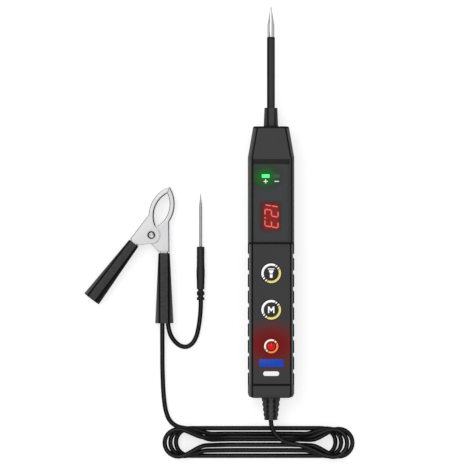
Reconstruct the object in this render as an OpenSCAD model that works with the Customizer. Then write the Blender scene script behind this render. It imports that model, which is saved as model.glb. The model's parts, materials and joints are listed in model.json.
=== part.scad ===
// Pen-type circuit tester, lying on its back with its face up, and its ground lead and clamp
// beside it. Millimetres. X is across the pen, Y runs along it towards the needle, Z is up.
// The origin is under the middle of the pen, on the surface that it lies on.

/* [Housing] */
// Width of the housing across the head
body_w = 30; // [28:0.5:34]
// Depth of the housing from its back to its face
body_d = 24; // [23:0.5:28]
// Length of the housing, without collar and strain relief
body_l = 176; // [172:1:190]
// Thickness of the side, back and end walls
wall = 2; // [1.6:0.1:2.4]
// Thickness of the front wall, which carries the recesses
front_wall = 3.6; // [3.2:0.1:4.2]
// Distance across a face chamfer, from the flat face to the side
face_in = 2.2; // [1.5:0.1:2.4]
// Distance across a back chamfer, from the flat back to the side
back_in = 4; // [3:0.25:5.5]
// Depth of the face chamfers, measured down the sides
face_chamfer = 4; // [2.5:0.5:5]
// Depth of the back chamfers, measured up the sides
back_chamfer = 5; // [3:0.5:6]
// Radius on the long edges
edge_r = 1; // [0.6:0.1:1.4]
// Rounding of the tail end
tail_r = 2.6; // [1.5:0.1:3.5]

/* [Nose] */
// Length of the tapered nose
nose_l = 20; // [16:1:26]
// How far each side comes in over the nose
nose_in = 3.3; // [2:0.1:4]
// How far the face and the back come in over the nose
nose_drop = 3; // [2:0.25:3.75]
// Distance across a face chamfer at the nose end
nose_face_in = 2.4; // [2.2:0.1:4.6]

/* [Face] */
// Length of the display window
window_l = 50; // [46:0.5:51]
// Distance from the window's edge to the housing's side
window_in = 3.5; // [3.2:0.1:5]
// Thickness of the display window
window_t = 1.6; // [1.2:0.1:1.8]
// How far the window lies below the face
window_drop = 1; // [0.6:0.1:1.2]
// Width of the ledge that carries the window
window_ledge = 1.6; // [1:0.1:2.2]
// Length of the sloped step above the window
step_l = 3.2; // [2:0.1:4]
// Length of the control panel
panel_l = 91; // [88:0.5:92]
// Distance from the panel's edge to the housing's side
panel_in = 2.7; // [2.6:0.05:3]
// Thickness of the control panel
panel_t = 0.8; // [0.6:0.1:1]
// How far the panel lies below the face
panel_drop = 0.4; // [0.2:0.1:0.6]
// Gap between the window and the panel
seam_w = 0.9; // [0.6:0.1:1.4]

/* [Side grips] */
// How far the sides come in along the grips
waist_in = 0.95; // [0.75:0.05:1.15]
// Height of the grip strips
grip_h = 14; // [10:0.5:15]
// Depth of the grip strip in the side wall
grip_t = 1; // [0.8:0.1:1.2]
// How far the pads stand proud of the strip
pad_proud = 0.85; // [0.5:0.05:0.9]
// Length of one pad
pad_l = 9; // [7:0.5:9.5]
// Distance from one pad to the next
pad_pitch = 10.7; // [10:0.1:12]

/* [Keys] */
// Radius of the two round keys
key_r = 4.55; // [4:0.05:4.8]
// Radius of the power key
power_key_r = 3.15; // [2.8:0.05:3.4]
// Width of the lit ring round a key
ring_w = 1.65; // [1.2:0.05:1.8]
// Width of the lit ring round the power key
power_ring_w = 1.3; // [1:0.05:1.5]
// Distance between the keys
key_pitch = 23.6; // [22:0.1:24]
// Distance from the panel's upper end to the first key
key_start = 18.9; // [17:0.1:20]
// How far a key stands above the panel
key_proud = 0.7; // [0.5:0.1:1.2]
// Travel of a key
key_travel = 0.5; // [0.3:0.05:0.6]
// Gap round a key
key_gap = 0.2; // [0.12:0.02:0.3]

/* [Probe needle] */
// Radius of the needle
needle_r = 2.25; // [1.8:0.05:2.4]
// Length of the bare cylindrical needle ahead of its sleeve
bare_l = 8.6; // [6:0.2:14]
// Length of the ground point
point_l = 11.8; // [9:0.2:15]
// Radius left at the very tip
tip_r = 0.25; // [0.15:0.05:0.4]
// Length of the insulating sleeve ahead of the collar
sleeve_l = 46; // [40:1:60]
// Wall of the insulating sleeve
sleeve_t = 0.66; // [0.5:0.02:0.8]
// Depth of the turned seat that stops the sleeve
seat_step = 0.4; // [0.3:0.05:0.5]
// Length of the collar
collar_l = 12.3; // [10:0.1:15]
// Width of the collar over its corners where it leaves the nose
collar_w = 9.4; // [8.6:0.1:9.6]
// Width of the collar over its corners at its outer end
collar_end_w = 8.45; // [7.6:0.05:8.6]

/* [Strain relief] */
// Length of the strain relief outside the housing
relief_l = 14.8; // [12:0.2:20]
// Width of the strain relief at the housing
relief_w = 12.1; // [11.4:0.1:12.4]
// Width of the strain relief at its outer end
relief_end_w = 9; // [8:0.1:9.6]
// Number of slot rows
relief_rows = 4; // [3:1:5]

/* [Leads] */
// Diameter of the leads
lead_d = 3; // [2.6:0.1:3.2]
// Width of the hank
hank_w = 21; // [20:0.5:24]
// Length of the hank
hank_l = 125.5; // [120:0.5:140]
// Height of the hank
hank_h = 12; // [9:0.5:14]

/* [Clamp] */
// Sheet thickness of the clamp halves
sheet_t = 1; // [0.8:0.1:1.2]
// Height of the outer half
clamp_h = 8; // [7.6:0.2:8.4]
// Gap between the nested halves
nest_gap = 0.15; // [0.1:0.05:0.3]
// Half the width of the jaws
jaw_half_w = 7.8; // [7:0.1:8.6]
// Half the width of the leaf-shaped opening
leaf_half_w = 4.6; // [4:0.1:5]
// Length of the leaf-shaped opening
leaf_l = 23.2; // [20:0.2:24]
// Distance from the pivot to the jaw tip
jaw_reach = 33.7; // [32:0.1:36]
// Gap between the closed jaws
jaw_gap = 0.2; // [0.1:0.05:0.4]
// Radius of the rivet
rivet_r = 1.6; // [1.2:0.1:1.8]
// Radius of the rivet's heads
rivet_head_r = 2.5; // [2.2:0.1:3]
// Angle of each handle to the clamp's middle
handle_angle = 18.7; // [16:0.1:22]
// Length of a handle sleeve
grip_sleeve_l = 45.8; // [40:0.2:52]
// Width of a handle sleeve at the jaws
grip_sleeve_w = 7.4; // [7.2:0.1:8]
// Width of a handle sleeve at its mouth
grip_mouth_w = 11.9; // [10.5:0.1:13]
// Height of a handle sleeve
grip_sleeve_h = 10.4; // [10:0.1:11]
// Width of the flat that runs along the middle of a handle sleeve
grip_flat_w = 5.4; // [4.6:0.1:6]
// Width of the steel handle inside its sleeve
tang_w = 5; // [4.4:0.1:5.2]
// Length of the steel handle inside its sleeve
tang_l = 30; // [24:1:34]

/* [Small probe] */
// Radius of the small probe's needle
small_needle_r = 0.95; // [0.8:0.05:1.1]
// Length of the small probe's needle ahead of its handle
small_needle_l = 35.2; // [30:0.2:40]
// Length of the small probe's point
small_point_l = 9.4; // [7:0.2:12]
// Depth of the turned seat on the small needle
small_seat_step = 0.3; // [0.2:0.05:0.4]
// Radius of the small probe's handle
small_handle_r = 2.5; // [2.3:0.05:2.8]
// Length of the small probe's handle
small_handle_l = 34.9; // [32:0.1:38]

/* [Hidden] */

// Fits: a seated piece, a turning or sliding piece, the thinnest slice, and how far a cut overruns
seat_gap = 0.05;
run_gap = 0.1;
slice = 0.02;
over = 1;

// Widths and depths that follow the housing
face_w = body_w - 2 * face_in;
back_w = body_w - 2 * back_in;
waist_w = body_w - 2 * waist_in;
window_w = body_w - 2 * window_in;
panel_w = body_w - 2 * panel_in;
nose_w = body_w - 2 * nose_in;
nose_face_w = nose_w - 2 * nose_face_in;
nose_d = body_d - 2 * nose_drop;
nose_back_in = 3.5;
nose_back_w = nose_w - 2 * nose_back_in;
nose_back_chamfer = 4;
nose_face_chamfer = 3.2;
nose_edge = 0.6;

// Lands on the face: ahead of the window's step, at its foot, beside it and beside the seam
step_land = 1.4;
step_foot = 0.3;
step_side = 0.4;
seam_land = 0.8;
seam_depth = 0.3;
window_corner_r = 1.5;
panel_corner_r = 1.2;

// Places along the pen
overall_l = relief_l + body_l + collar_l + sleeve_l + bare_l + point_l;
tail_y = -overall_l / 2 + relief_l;
nose_y = tail_y + body_l;
shoulder_y = nose_y - nose_l;
window_top = shoulder_y - step_l - step_land;
window_end = window_top - window_l;
seam_y = window_end - seam_land;
panel_top = seam_y - seam_w;
panel_end = panel_top - panel_l;
key_ys = [for (i = [0:2]) panel_top - key_start - i * key_pitch];

// Heights
mid_z = body_d / 2;
face_z = body_d;
ceiling_z = face_z - front_wall;
window_seat = face_z - window_drop - window_t;
panel_seat = face_z - panel_drop - panel_t;
panel_z = panel_seat + panel_t;
nose_low = mid_z - nose_d / 2;
nose_high = mid_z + nose_d / 2;

// The board and what stands on it
board_t = 1.6;
board_in = 4.3;
board_rise = 1;
board_nose_gap = 2.2;
board_tail_gap = 15.6;
board_w = body_w - 2 * board_in;
board_z = mid_z + board_rise;
board_low = board_z - board_t;
board_top = shoulder_y - board_nose_gap;
board_end = tail_y + board_tail_gap;
post_r = 2;
post_in = 2.6;
post_nose_gap = 6;
post_tail_gap = 4;
post_x = board_w / 2 - post_in;
post_ys = [board_top - post_nose_gap, key_ys[0] + key_pitch / 2, board_end + post_tail_gap];
ring_flange_t = 0.9;
ring_flange_w = 1;
key_flange_t = 0.9;
key_flange_w = 1.5;
ring_flange_z = ceiling_z - seat_gap - ring_flange_t;
key_flange_z = ring_flange_z - run_gap - key_flange_t;
stem_r = 1.5;
stem_drop = 0.7;
switch_w = 6;
plunger_z = key_flange_z - stem_drop - key_travel - run_gap;
plunger_h = 0.8;
plunger_r = 1.7;

// Grip strips along the sides
strip_inset = 0.5;
strip_top = panel_top - strip_inset;
strip_end = panel_end + strip_inset;
strip_low = mid_z - grip_h / 2;
waist_land = 0.4;
waist_wall = 0.8 * wall;
inner_waist = waist_w - 2 * (grip_t + waist_wall);

// The collar, the sleeve and the relief in the end walls
neck_r = 4.1;
flange_t = 2;
sleeve_fit = 0.02;
seat_r = needle_r - seat_step;
sleeve_r = seat_r + sleeve_fit + sleeve_t;
relief_neck_r = 4.9;
relief_flange_r = 6.6;
led_r = 1.5;
led_flange_r = 1.9;
led_in = 4;
led_x = nose_w / 2 - led_in;
led_l = 7;
led_collar_gap = 0.4;
collar_flange_r = led_x - led_flange_r - led_collar_gap;
terminal_back = 12.6;

// Screws from the back
screw_in = 6.6;
screw_nose_rise = 2.4;
screw_tail_rise = 10;
screw_x = body_w / 2 - screw_in;
screw_ys = [shoulder_y + screw_nose_rise, tail_y + screw_tail_rise];
boss_r = 3;
front_boss_r = 2.7;
screw_r = 1.2;
screw_gap = 0.2;
screw_head_r = 2.3;
screw_head_h = 1.7;
screw_seat_z = 6;
screw_l = 12.5;
screw_hole_l = 7.5;
screw_slot_l = 3;
screw_slot_w = 0.5;
screw_slot_depth = 0.8;

// The hank, behind the tail
hank_x = -8;
hank_y = -150;

// Route of the lead from the strain relief to the hank
pen_route = [
    [0, -116, 12], [0, -122, 12], [0, -129, 12], [0, -135, 12], [0.6, -139.5, 12],
    [2.6, -143.6, 11.7], [6, -147, 11.2], [10.5, -149.6, 10.6]
];
// Route of the lead from the hank to the clamp's mouth
clamp_route = [
    [-56, -141, 1.5], [-62, -139.4, 1.5], [-66.4, -135.4, 1.6], [-68.7, -129.4, 1.7],
    [-69.8, -122.5, 1.9], [-70.4, -115, 2.2], [-70.7, -107, 2.6], [-70.9, -99, 3.1],
    [-70.9, -91, 3.8], [-70.9, -83, 4.6], [-70.9, -76, 5.1], [-70.9, -70.5, 5.2], [-70.9, -65, 5.2]
];
// Route of the short lead from the clamp's mouth to the small probe
small_route = [
    [-67.7, -65, 5.2], [-67.5, -69.5, 5.2], [-66.9, -74.5, 5], [-65.6, -79.5, 4.2], [-62.8, -84, 3],
    [-59, -87, 2], [-55, -87.6, 1.6], [-51.4, -85.4, 1.6], [-48.8, -81, 1.7], [-47.2, -74.5, 2],
    [-46.2, -67, 2.4], [-45.8, -60.5, 2.7], [-45.8, -55, 2.75]
];
lead_sides = 8;

// The clamp's place and its own outline, measured from the rivet with the jaws along +Y
clamp_x = -78;
clamp_y = -14.4;
clamp_z = grip_sleeve_h / 2;
clamp_turn = -18.5;
jaw_axis = 1.2;
leaf_low = 6;
leaf_mid = leaf_low + leaf_l / 2;
jaw_half_l = jaw_reach - leaf_mid;
jaw_r = (jaw_half_l * jaw_half_l + jaw_half_w * jaw_half_w) / (2 * jaw_half_w);
leaf_r = (leaf_l * leaf_l / 4 + leaf_half_w * leaf_half_w) / (2 * leaf_half_w);
neck_drop = 5.6;
neck_y = leaf_mid - neck_drop;
neck_x = jaw_half_w - jaw_r + sqrt(jaw_r * jaw_r - neck_drop * neck_drop);
ear_r = 5.8;
crotch_y = -5.2;
handle_x = 10.4;
handle_y = -8.6;
inner_h = clamp_h - 2 * (sheet_t + nest_gap);
plate_end_w = grip_sleeve_w - 0.4;
plate_end_gap = 0.6;
plate_end = [handle_x - plate_end_gap * sin(handle_angle), handle_y + plate_end_gap * cos(handle_angle)];
spring_r = 3.4;
spring_bore_r = rivet_r + 0.5;
spring_h = 3;
rivet_head_h = (grip_sleeve_h - clamp_h) / 2 - run_gap;

// The small probe's place
small_x = -45.9;
small_handle_y = -22.1;
small_swell = 0.25;
small_swell_start = 9;
small_swell_from = 16;
small_swell_to = 20;
small_swell_end = 27.4;
small_groove_depth = 0.7;
small_groove_l = 1.6;
small_seat_l = 14;
small_z = small_handle_r + small_swell;

// Octagonal cross-section of the housing, as its eight corners in X and Z
function octagon(w, low, high, back, face, low_cut, high_cut) = [
    [w / 2, low + low_cut], [w / 2, high - high_cut], [face / 2, high], [-face / 2, high],
    [-w / 2, high - high_cut], [-w / 2, low + low_cut], [-back / 2, low], [back / 2, low]
];

// The same outline with each corner rounded by a short curve that starts at distance r from it
corner_steps = 4;
function toward(p, q, r) = p + (q - p) * r / norm(q - p);
function bend_point(a, p, c, t) = (1 - t) * (1 - t) * a + 2 * t * (1 - t) * p + t * t * c;
function rounded(corners, r) = [
    for (i = [0:len(corners) - 1])
        for (k = [0:corner_steps])
            let (
                p = corners[i],
                a = toward(p, corners[(i + len(corners) - 1) % len(corners)], r),
                c = toward(p, corners[(i + 1) % len(corners)], r)
            )
            bend_point(a, p, c, k / corner_steps)
];

// One closed form through a row of outlines, each given as [y, corners], from tail to nose
module loft(stations, r) {
    rows = [for (s = stations) [for (p = rounded(s[1], r)) [p[0], s[0], p[1]]]];
    n = len(rows[0]);
    count = len(rows);
    polyhedron(
        points = [for (row = rows) for (p = row) p],
        faces = concat(
            [[for (k = [n - 1:-1:0]) k]],
            [for (i = [0:count - 2]) for (k = [0:n - 1])
                [i * n + k, i * n + (k + 1) % n, (i + 1) * n + k]],
            [for (i = [0:count - 2]) for (k = [0:n - 1])
                [i * n + (k + 1) % n, (i + 1) * n + (k + 1) % n, (i + 1) * n + k]],
            [[for (k = [0:n - 1]) (count - 1) * n + k]]
        )
    );
}

module housing_form() {
    function full(d) = octagon(body_w - 2 * d, d, body_d - d, back_w - d, face_w - d,
                               back_chamfer, face_chamfer);
    function nose(d) = octagon(nose_w - 2 * d, nose_low + d, nose_high - d, nose_back_w - d,
                               nose_face_w - d, nose_back_chamfer, nose_face_chamfer);
    bend = tail_r * (1 - sqrt(0.5));
    loft([
        [tail_y, full(tail_r)], [tail_y + bend, full(bend)], [tail_y + tail_r, full(0)],
        [shoulder_y, full(0)], [nose_y - nose_edge, nose(0)], [nose_y, nose(nose_edge)]
    ], edge_r);
}

module cavity_form() {
    w = body_w - 2 * wall;
    slope = 1.5;
    function full(d) = octagon(w - 2 * d, wall + d, ceiling_z - d, back_w - wall, face_w - wall,
                               back_chamfer, face_chamfer - wall / 2);
    nose = octagon(nose_w - 2 * wall, nose_low + wall, nose_high - wall, nose_back_w - wall / 2,
                   nose_face_w - wall, nose_back_chamfer - wall / 2, nose_face_chamfer - 0.8);
    intersection() {
        loft([
            [tail_y + wall, full(1)], [tail_y + wall + slope, full(0)],
            [shoulder_y, full(0)], [nose_y - wall, nose]
        ], edge_r);
        union() {
            translate([-body_w, panel_top + over, 0]) cube([2 * body_w, body_l, body_d]);
            translate([-inner_waist / 2, tail_y, 0])
                cube([inner_waist, panel_top + 2 * over - tail_y, body_d]);
        }
    }
}

// The outer form with its waist and the two grooves for the grip strips
module housing_outside() {
    difference() {
        housing_form();
        for (side = [-1, 1])
            scale([side, 1, 1]) {
                translate([waist_w / 2, panel_end - waist_land, -over])
                    cube([body_w, panel_l + 2 * waist_land, body_d + 2 * over]);
                translate([waist_w / 2 - grip_t - seat_gap, strip_end - seat_gap, strip_low - seat_gap])
                    cube([body_w, strip_top - strip_end + 2 * seat_gap, grip_h + 2 * seat_gap]);
            }
    }
}

// Round holes that the two covers share: collar neck, relief neck and torch lights
module end_holes() {
    translate([0, nose_y + over, mid_z])
        rotate([90, 0, 0])
            cylinder(r = neck_r + seat_gap, h = wall + 2 * over, $fn = 48);
    translate([0, tail_y + wall + over, mid_z])
        rotate([90, 0, 0])
            cylinder(r = relief_neck_r + seat_gap, h = wall + 2 * over, $fn = 48);
    for (side = [-1, 1])
        translate([side * led_x, nose_y + over, mid_z])
            rotate([90, 0, 0])
                cylinder(r = led_r + seat_gap, h = wall + 2 * over, $fn = 32);
}

module screw_places() {
    for (side = [-1, 1])
        for (y = screw_ys)
            translate([side * screw_x, y, 0])
                children();
}

module board_posts() {
    for (side = [-1, 1])
        for (y = post_ys)
            translate([side * post_x, y, 0])
                children();
}

module rear_cover() {
    color([0.24, 0.24, 0.25])
        difference() {
            union() {
                difference() {
                    intersection() {
                        housing_outside();
                        translate([-body_w, tail_y - over, -over])
                            cube([2 * body_w, body_l + 2 * over, mid_z + over]);
                    }
                    cavity_form();
                }
                screw_places()
                    translate([0, 0, wall / 2])
                        cylinder(r = boss_r, h = mid_z - wall / 2 - seat_gap, $fn = 32);
                board_posts()
                    translate([0, 0, wall / 2])
                        cylinder(r = post_r, h = board_low - wall / 2 - seat_gap, $fn = 24);
            }
            end_holes();
            screw_places() {
                translate([0, 0, -over])
                    cylinder(r = screw_head_r + screw_gap, h = screw_seat_z + over, $fn = 32);
                cylinder(r = screw_r + screw_gap, h = body_d, $fn = 32);
            }
            sound_holes();
        }
}

// Five small holes in the back under the buzzer: one in the middle and four round it
buzzer_y = board_end + 12;
module sound_holes() {
    hole_r = 0.8;
    hole_pitch = 3;
    for (p = [[0, 0], [1, 0], [0, 1], [-1, 0], [0, -1]])
        translate([p[0] * hole_pitch, buzzer_y + p[1] * hole_pitch, -over])
            cylinder(r = hole_r, h = wall + 2 * over, $fn = 24);
}

// A plate with round corners, centred across the pen, from one end to the other
module plate(w, from, to, low, t, r) {
    translate([0, 0, low])
        linear_extrude(t)
            union() {
                translate([-w / 2, from + r]) square([w, to - from - 2 * r]);
                translate([r - w / 2, from]) square([w - 2 * r, to - from]);
                for (x = [r - w / 2, w / 2 - r])
                    for (y = [from + r, to - r])
                        translate([x, y]) circle(r = r, $fn = 24);
            }
}

module front_cover() {
    color([0.25, 0.25, 0.26])
        difference() {
            union() {
                difference() {
                    intersection() {
                        housing_outside();
                        translate([-body_w, tail_y - over, mid_z])
                            cube([2 * body_w, body_l + 2 * over, body_d]);
                    }
                    cavity_form();
                }
                screw_places()
                    translate([0, 0, mid_z])
                        cylinder(r = front_boss_r, h = ceiling_z - mid_z + 0.5, $fn = 32);
            }
            end_holes();
            screw_places()
                translate([0, 0, mid_z - over])
                    cylinder(r = screw_r + seat_gap, h = screw_hole_l + over, $fn = 32);
            window_cut();
            panel_cut();
        }
}

// The window's sloped step, its recess and the aperture inside its ledge
module window_cut() {
    floor_z = face_z - window_drop;
    foot_y = window_top + step_foot;
    translate([-window_w / 2 - step_side, 0, 0])
        rotate([90, 0, 90])
            linear_extrude(window_w + 2 * step_side)
                polygon([
                    [seam_y, floor_z], [foot_y, floor_z], [foot_y + step_l, face_z],
                    [foot_y + step_l, face_z + over], [seam_y, face_z + over]
                ]);
    plate(window_w + 2 * seat_gap, window_end - seat_gap, window_top + seat_gap, window_seat,
          body_d, window_corner_r);
    plate(window_w - 2 * window_ledge, window_end + window_ledge, window_top - window_ledge,
          mid_z, body_d, 1);
}

// The panel's recess, the seam above it and the holes for the lit rings
module panel_cut() {
    plate(panel_w + 2 * seat_gap, panel_end - seat_gap, panel_top + seat_gap, panel_seat,
          body_d, panel_corner_r);
    translate([-body_w / 2, seam_y - seam_w / 2, face_z - window_drop - seam_depth])
        cube([body_w, seam_w, body_d]);
    for (i = [0:2])
        translate([0, key_ys[i], mid_z])
            cylinder(r = ring_outer_r(i) + seat_gap, h = body_d, $fn = 64);
}

function cap_r(i) = i < 2 ? key_r : power_key_r;
function ring_inner_r(i) = cap_r(i) + key_gap;
function ring_outer_r(i) = ring_inner_r(i) + (i < 2 ? ring_w : power_ring_w);

module display_window() {
    color([0.1, 0.1, 0.11, 0.6])
        plate(window_w, window_end, window_top, window_seat, window_t, window_corner_r);
}

module control_panel() {
    color([0.23, 0.23, 0.24])
        difference() {
            plate(panel_w, panel_end, panel_top, panel_seat, panel_t, panel_corner_r);
            for (i = [0:2])
                translate([0, key_ys[i], 0])
                    cylinder(r = ring_outer_r(i) + seat_gap, h = body_d + over, $fn = 64);
        }
}

// A rubber strip in the side wall with a row of pads, each pad chamfered at both ends
module grip(side) {
    pad_count = ceil((strip_top - strip_end) / pad_pitch);
    color([0.09, 0.09, 0.1])
        scale([side, 1, 1]) {
            translate([waist_w / 2 - grip_t, strip_end, strip_low])
                cube([grip_t, strip_top - strip_end, grip_h]);
            intersection() {
                translate([0, strip_end, 0]) cube([body_w, strip_top - strip_end, body_d]);
                for (k = [0:pad_count - 1])
                    translate([waist_w / 2 - grip_t / 2, strip_top + 2 - k * pad_pitch, strip_low])
                        pad();
            }
        }
}

module pad() {
    reach = grip_t / 2 + pad_proud;
    slope = 0.5;
    linear_extrude(grip_h)
        polygon([[0, 0], [reach - slope, 0], [reach, -slope], [reach, slope - pad_l],
                 [reach - slope, -pad_l], [0, -pad_l]]);
}

module left_grip() {
    grip(-1);
}

module right_grip() {
    grip(1);
}

// A key: a slightly domed cap, a flange under the ring and a short stem over its switch
module key(i) {
    top = panel_z + key_proud;
    dome = 0.35;
    r = cap_r(i);
    translate([0, key_ys[i], 0])
        rotate_extrude($fn = 64)
            polygon([
                [0, key_flange_z - stem_drop], [stem_r, key_flange_z - stem_drop], [stem_r, key_flange_z],
                [r + key_flange_w, key_flange_z], [r + key_flange_w, key_flange_z + key_flange_t],
                [r, key_flange_z + key_flange_t], [r, top - dome - 0.3], [r - 0.25, top - dome],
                [r * 0.7, top - dome * 0.5], [r * 0.4, top - dome * 0.16], [0, top]
            ]);
}

module torch_key() {
    color([0.08, 0.08, 0.09]) key(0);
}

module mode_key() {
    color([0.08, 0.08, 0.09]) key(1);
}

module power_key() {
    color([0.75, 0.06, 0.06]) key(2);
}

// A lit ring: a light guide with a rounded top, held from inside by its flange
module key_ring(i) {
    a = ring_inner_r(i);
    b = ring_outer_r(i);
    top = panel_z + 0.3;
    translate([0, key_ys[i], 0])
        rotate_extrude($fn = 64)
            polygon([
                [a, ring_flange_z], [b + ring_flange_w, ring_flange_z],
                [b + ring_flange_w, ring_flange_z + ring_flange_t], [b, ring_flange_z + ring_flange_t],
                [b, top - 0.3], [b - 0.15, top - 0.1], [b - 0.4, top],
                [a + 0.4, top], [a + 0.15, top - 0.1], [a, top - 0.3]
            ]);
}

module torch_ring() {
    color([0.95, 0.9, 0.6]) key_ring(0);
}

module mode_ring() {
    color([0.95, 0.9, 0.6]) key_ring(1);
}

module power_ring() {
    color([0.98, 0.75, 0.5]) key_ring(2);
}

// The two polarity lights stand on the board and end just under the window
led_drop = 7.5;
led_y = window_top - led_drop;
led_spot_x = 3.7;
led_w = 5.2;
led_h = 2.7;
module polarity_led(side) {
    translate([side * led_spot_x - led_w / 2, led_y - led_h / 2, board_z + seat_gap])
        cube([led_w, led_h, window_seat - board_z - 4 * seat_gap]);
}

module positive_led() {
    color([0.3, 0.95, 0.45]) polarity_led(-1);
}

module negative_led() {
    color([0.5, 0.15, 0.15]) polarity_led(1);
}

// Three-digit display module, its figures running down the pen
display_l = 29.4;
display_w = 13.6;
display_rise = 6;
display_y = window_end + display_rise + display_l / 2;
display_lift = 1;
display_corner_r = 0.6;
pin_root = 0.2;
pin_x = 5;
pin_pitch = 2.54;
pin_r = 0.35;
pin_reach = 0.8;
module digit_display() {
    color([0.12, 0.05, 0.05])
        union() {
            plate(display_w, display_y - display_l / 2, display_y + display_l / 2,
                  board_z + display_lift, window_seat - 4 * seat_gap - display_lift - board_z,
                  display_corner_r);
            display_pins()
                translate([0, 0, board_low - pin_reach])
                    cylinder(r = pin_r, h = pin_reach + board_t + display_lift + pin_root, $fn = 16);
        }
}

module display_pins() {
    for (side = [-1, 1])
        for (k = [-2:2])
            translate([side * pin_x, display_y + k * pin_pitch, 0])
                children();
}

module circuit_board() {
    color([0.1, 0.32, 0.18])
        difference() {
            plate(board_w, board_end, board_top, board_low, board_t, 1);
            display_pins() cylinder(r = pin_r + run_gap, h = body_d, $fn = 16);
        }
}

module key_switches() {
    color([0.55, 0.55, 0.57])
        for (y = key_ys)
            translate([0, y, 0]) {
                translate([-switch_w / 2, -switch_w / 2, board_z + seat_gap])
                    cube([switch_w, switch_w, plunger_z - plunger_h - board_z - seat_gap]);
                translate([0, 0, plunger_z - plunger_h - 0.1])
                    cylinder(r = plunger_r, h = plunger_h + 0.1, $fn = 32);
            }
}

module buzzer() {
    h = 5.4;
    r = 6;
    mouth_r = 1;
    mouth_l = 2;
    color([0.07, 0.07, 0.08])
        translate([0, buzzer_y, board_low - seat_gap - h])
            difference() {
                cylinder(r = r, h = h, $fn = 48);
                translate([0, 0, -over]) cylinder(r = mouth_r, h = mouth_l + over, $fn = 24);
            }
}

// Two round lights that look out of the nose beside the collar
module torch_leds() {
    color([0.95, 0.95, 0.9])
        for (side = [-1, 1])
            translate([side * led_x, nose_y, mid_z])
                rotate([-90, 0, 0])
                    rotate_extrude($fn = 32)
                        polygon([
                            [0, -led_l], [led_r, -led_l], [led_r, -wall - 1], [led_flange_r, -wall - 1],
                            [led_flange_r, -wall - seat_gap], [led_r, -wall - seat_gap],
                            [led_r, -1.2], [led_r * 0.87, -0.6], [led_r * 0.5, -0.2], [0, 0]
                        ]);
}

module cover_screws() {
    color([0.6, 0.6, 0.62])
        screw_places()
            translate([0, 0, screw_seat_z])
                difference() {
                    union() {
                        translate([0, 0, -screw_head_h - seat_gap])
                            cylinder(r = screw_head_r, h = screw_head_h, $fn = 32);
                        translate([0, 0, -screw_head_h / 2])
                            cylinder(r = screw_r, h = screw_l, $fn = 32);
                    }
                    for (a = [0, 90])
                        rotate([0, 0, a])
                            translate([-screw_slot_l / 2, -screw_slot_w / 2,
                                       -screw_head_h - seat_gap - over])
                                cube([screw_slot_l, screw_slot_w, over + screw_slot_depth]);
                }
}

// The collar: a tapered hexagon outside, a neck through the wall and a flange behind it
module nose_collar() {
    flute = 0.35;
    color([0.2, 0.2, 0.21])
        translate([0, nose_y, mid_z])
            rotate([-90, 0, 0])
                difference() {
                    union() {
                        translate([0, 0, seat_gap])
                            cylinder(r1 = collar_w / 2, r2 = collar_end_w / 2, h = collar_l - seat_gap,
                                     $fn = 6);
                        translate([0, 0, -wall - flange_t])
                            cylinder(r = neck_r, h = wall + flange_t + 1, $fn = 48);
                        translate([0, 0, -wall - flange_t])
                            cylinder(r = collar_flange_r, h = flange_t - seat_gap, $fn = 48);
                    }
                    translate([0, 0, -wall - flange_t - over])
                        cylinder(r = sleeve_r + seat_gap, h = collar_l + 10, $fn = 48);
                    for (a = [60, 120, 240, 300])
                        rotate([0, 0, a])
                            translate([collar_w / 2 - flute * 0.6, 0, 1.2])
                                rotate([0, -2.2, 0])
                                    cylinder(r = flute, h = collar_l, $fn = 16);
                }
}

module probe_needle() {
    back = nose_y - terminal_back;
    shoulder = nose_y + collar_l + sleeve_l;
    front = shoulder + bare_l;
    color([0.8, 0.8, 0.82])
        translate([0, 0, mid_z])
            rotate([-90, 0, 0])
                rotate_extrude($fn = 48)
                    polygon([
                        [0, back], [seat_r, back], [seat_r, shoulder], [needle_r, shoulder],
                        [needle_r, front], [needle_r - 0.15, front + 0.2],
                        [needle_r - 0.35, front + 1.4], [tip_r, front + point_l - tip_r],
                        [tip_r * 0.7, front + point_l - tip_r * 0.3], [0, front + point_l]
                    ]);
}

module probe_sleeve() {
    color([0.17, 0.17, 0.18])
        translate([0, nose_y - wall - flange_t, mid_z])
            rotate([-90, 0, 0])
                difference() {
                    cylinder(r = sleeve_r, h = wall + flange_t + collar_l + sleeve_l, $fn = 48);
                    translate([0, 0, -over])
                        cylinder(r = seat_r + sleeve_fit, h = body_l, $fn = 48);
                }
}

// A cup on the needle's end with a tongue soldered to the board
module needle_terminal() {
    back = nose_y - terminal_back;
    base_t = 0.7;
    cup_r = seat_r + 1.2;
    cup_l = 3.6;
    tongue_w = 4;
    tongue_l = 4;
    tongue_t = 0.5;
    color([0.8, 0.65, 0.3])
        union() {
            translate([0, back - base_t - seat_gap, mid_z])
                rotate([-90, 0, 0])
                    difference() {
                        cylinder(r = cup_r, h = cup_l, $fn = 48);
                        translate([0, 0, base_t])
                            cylinder(r = seat_r + sleeve_fit, h = cup_l, $fn = 48);
                    }
            translate([-tongue_w / 2, board_top - tongue_l, board_z + seat_gap])
                cube([tongue_w, back - base_t / 2 - board_top + tongue_l, tongue_t]);
        }
}

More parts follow.
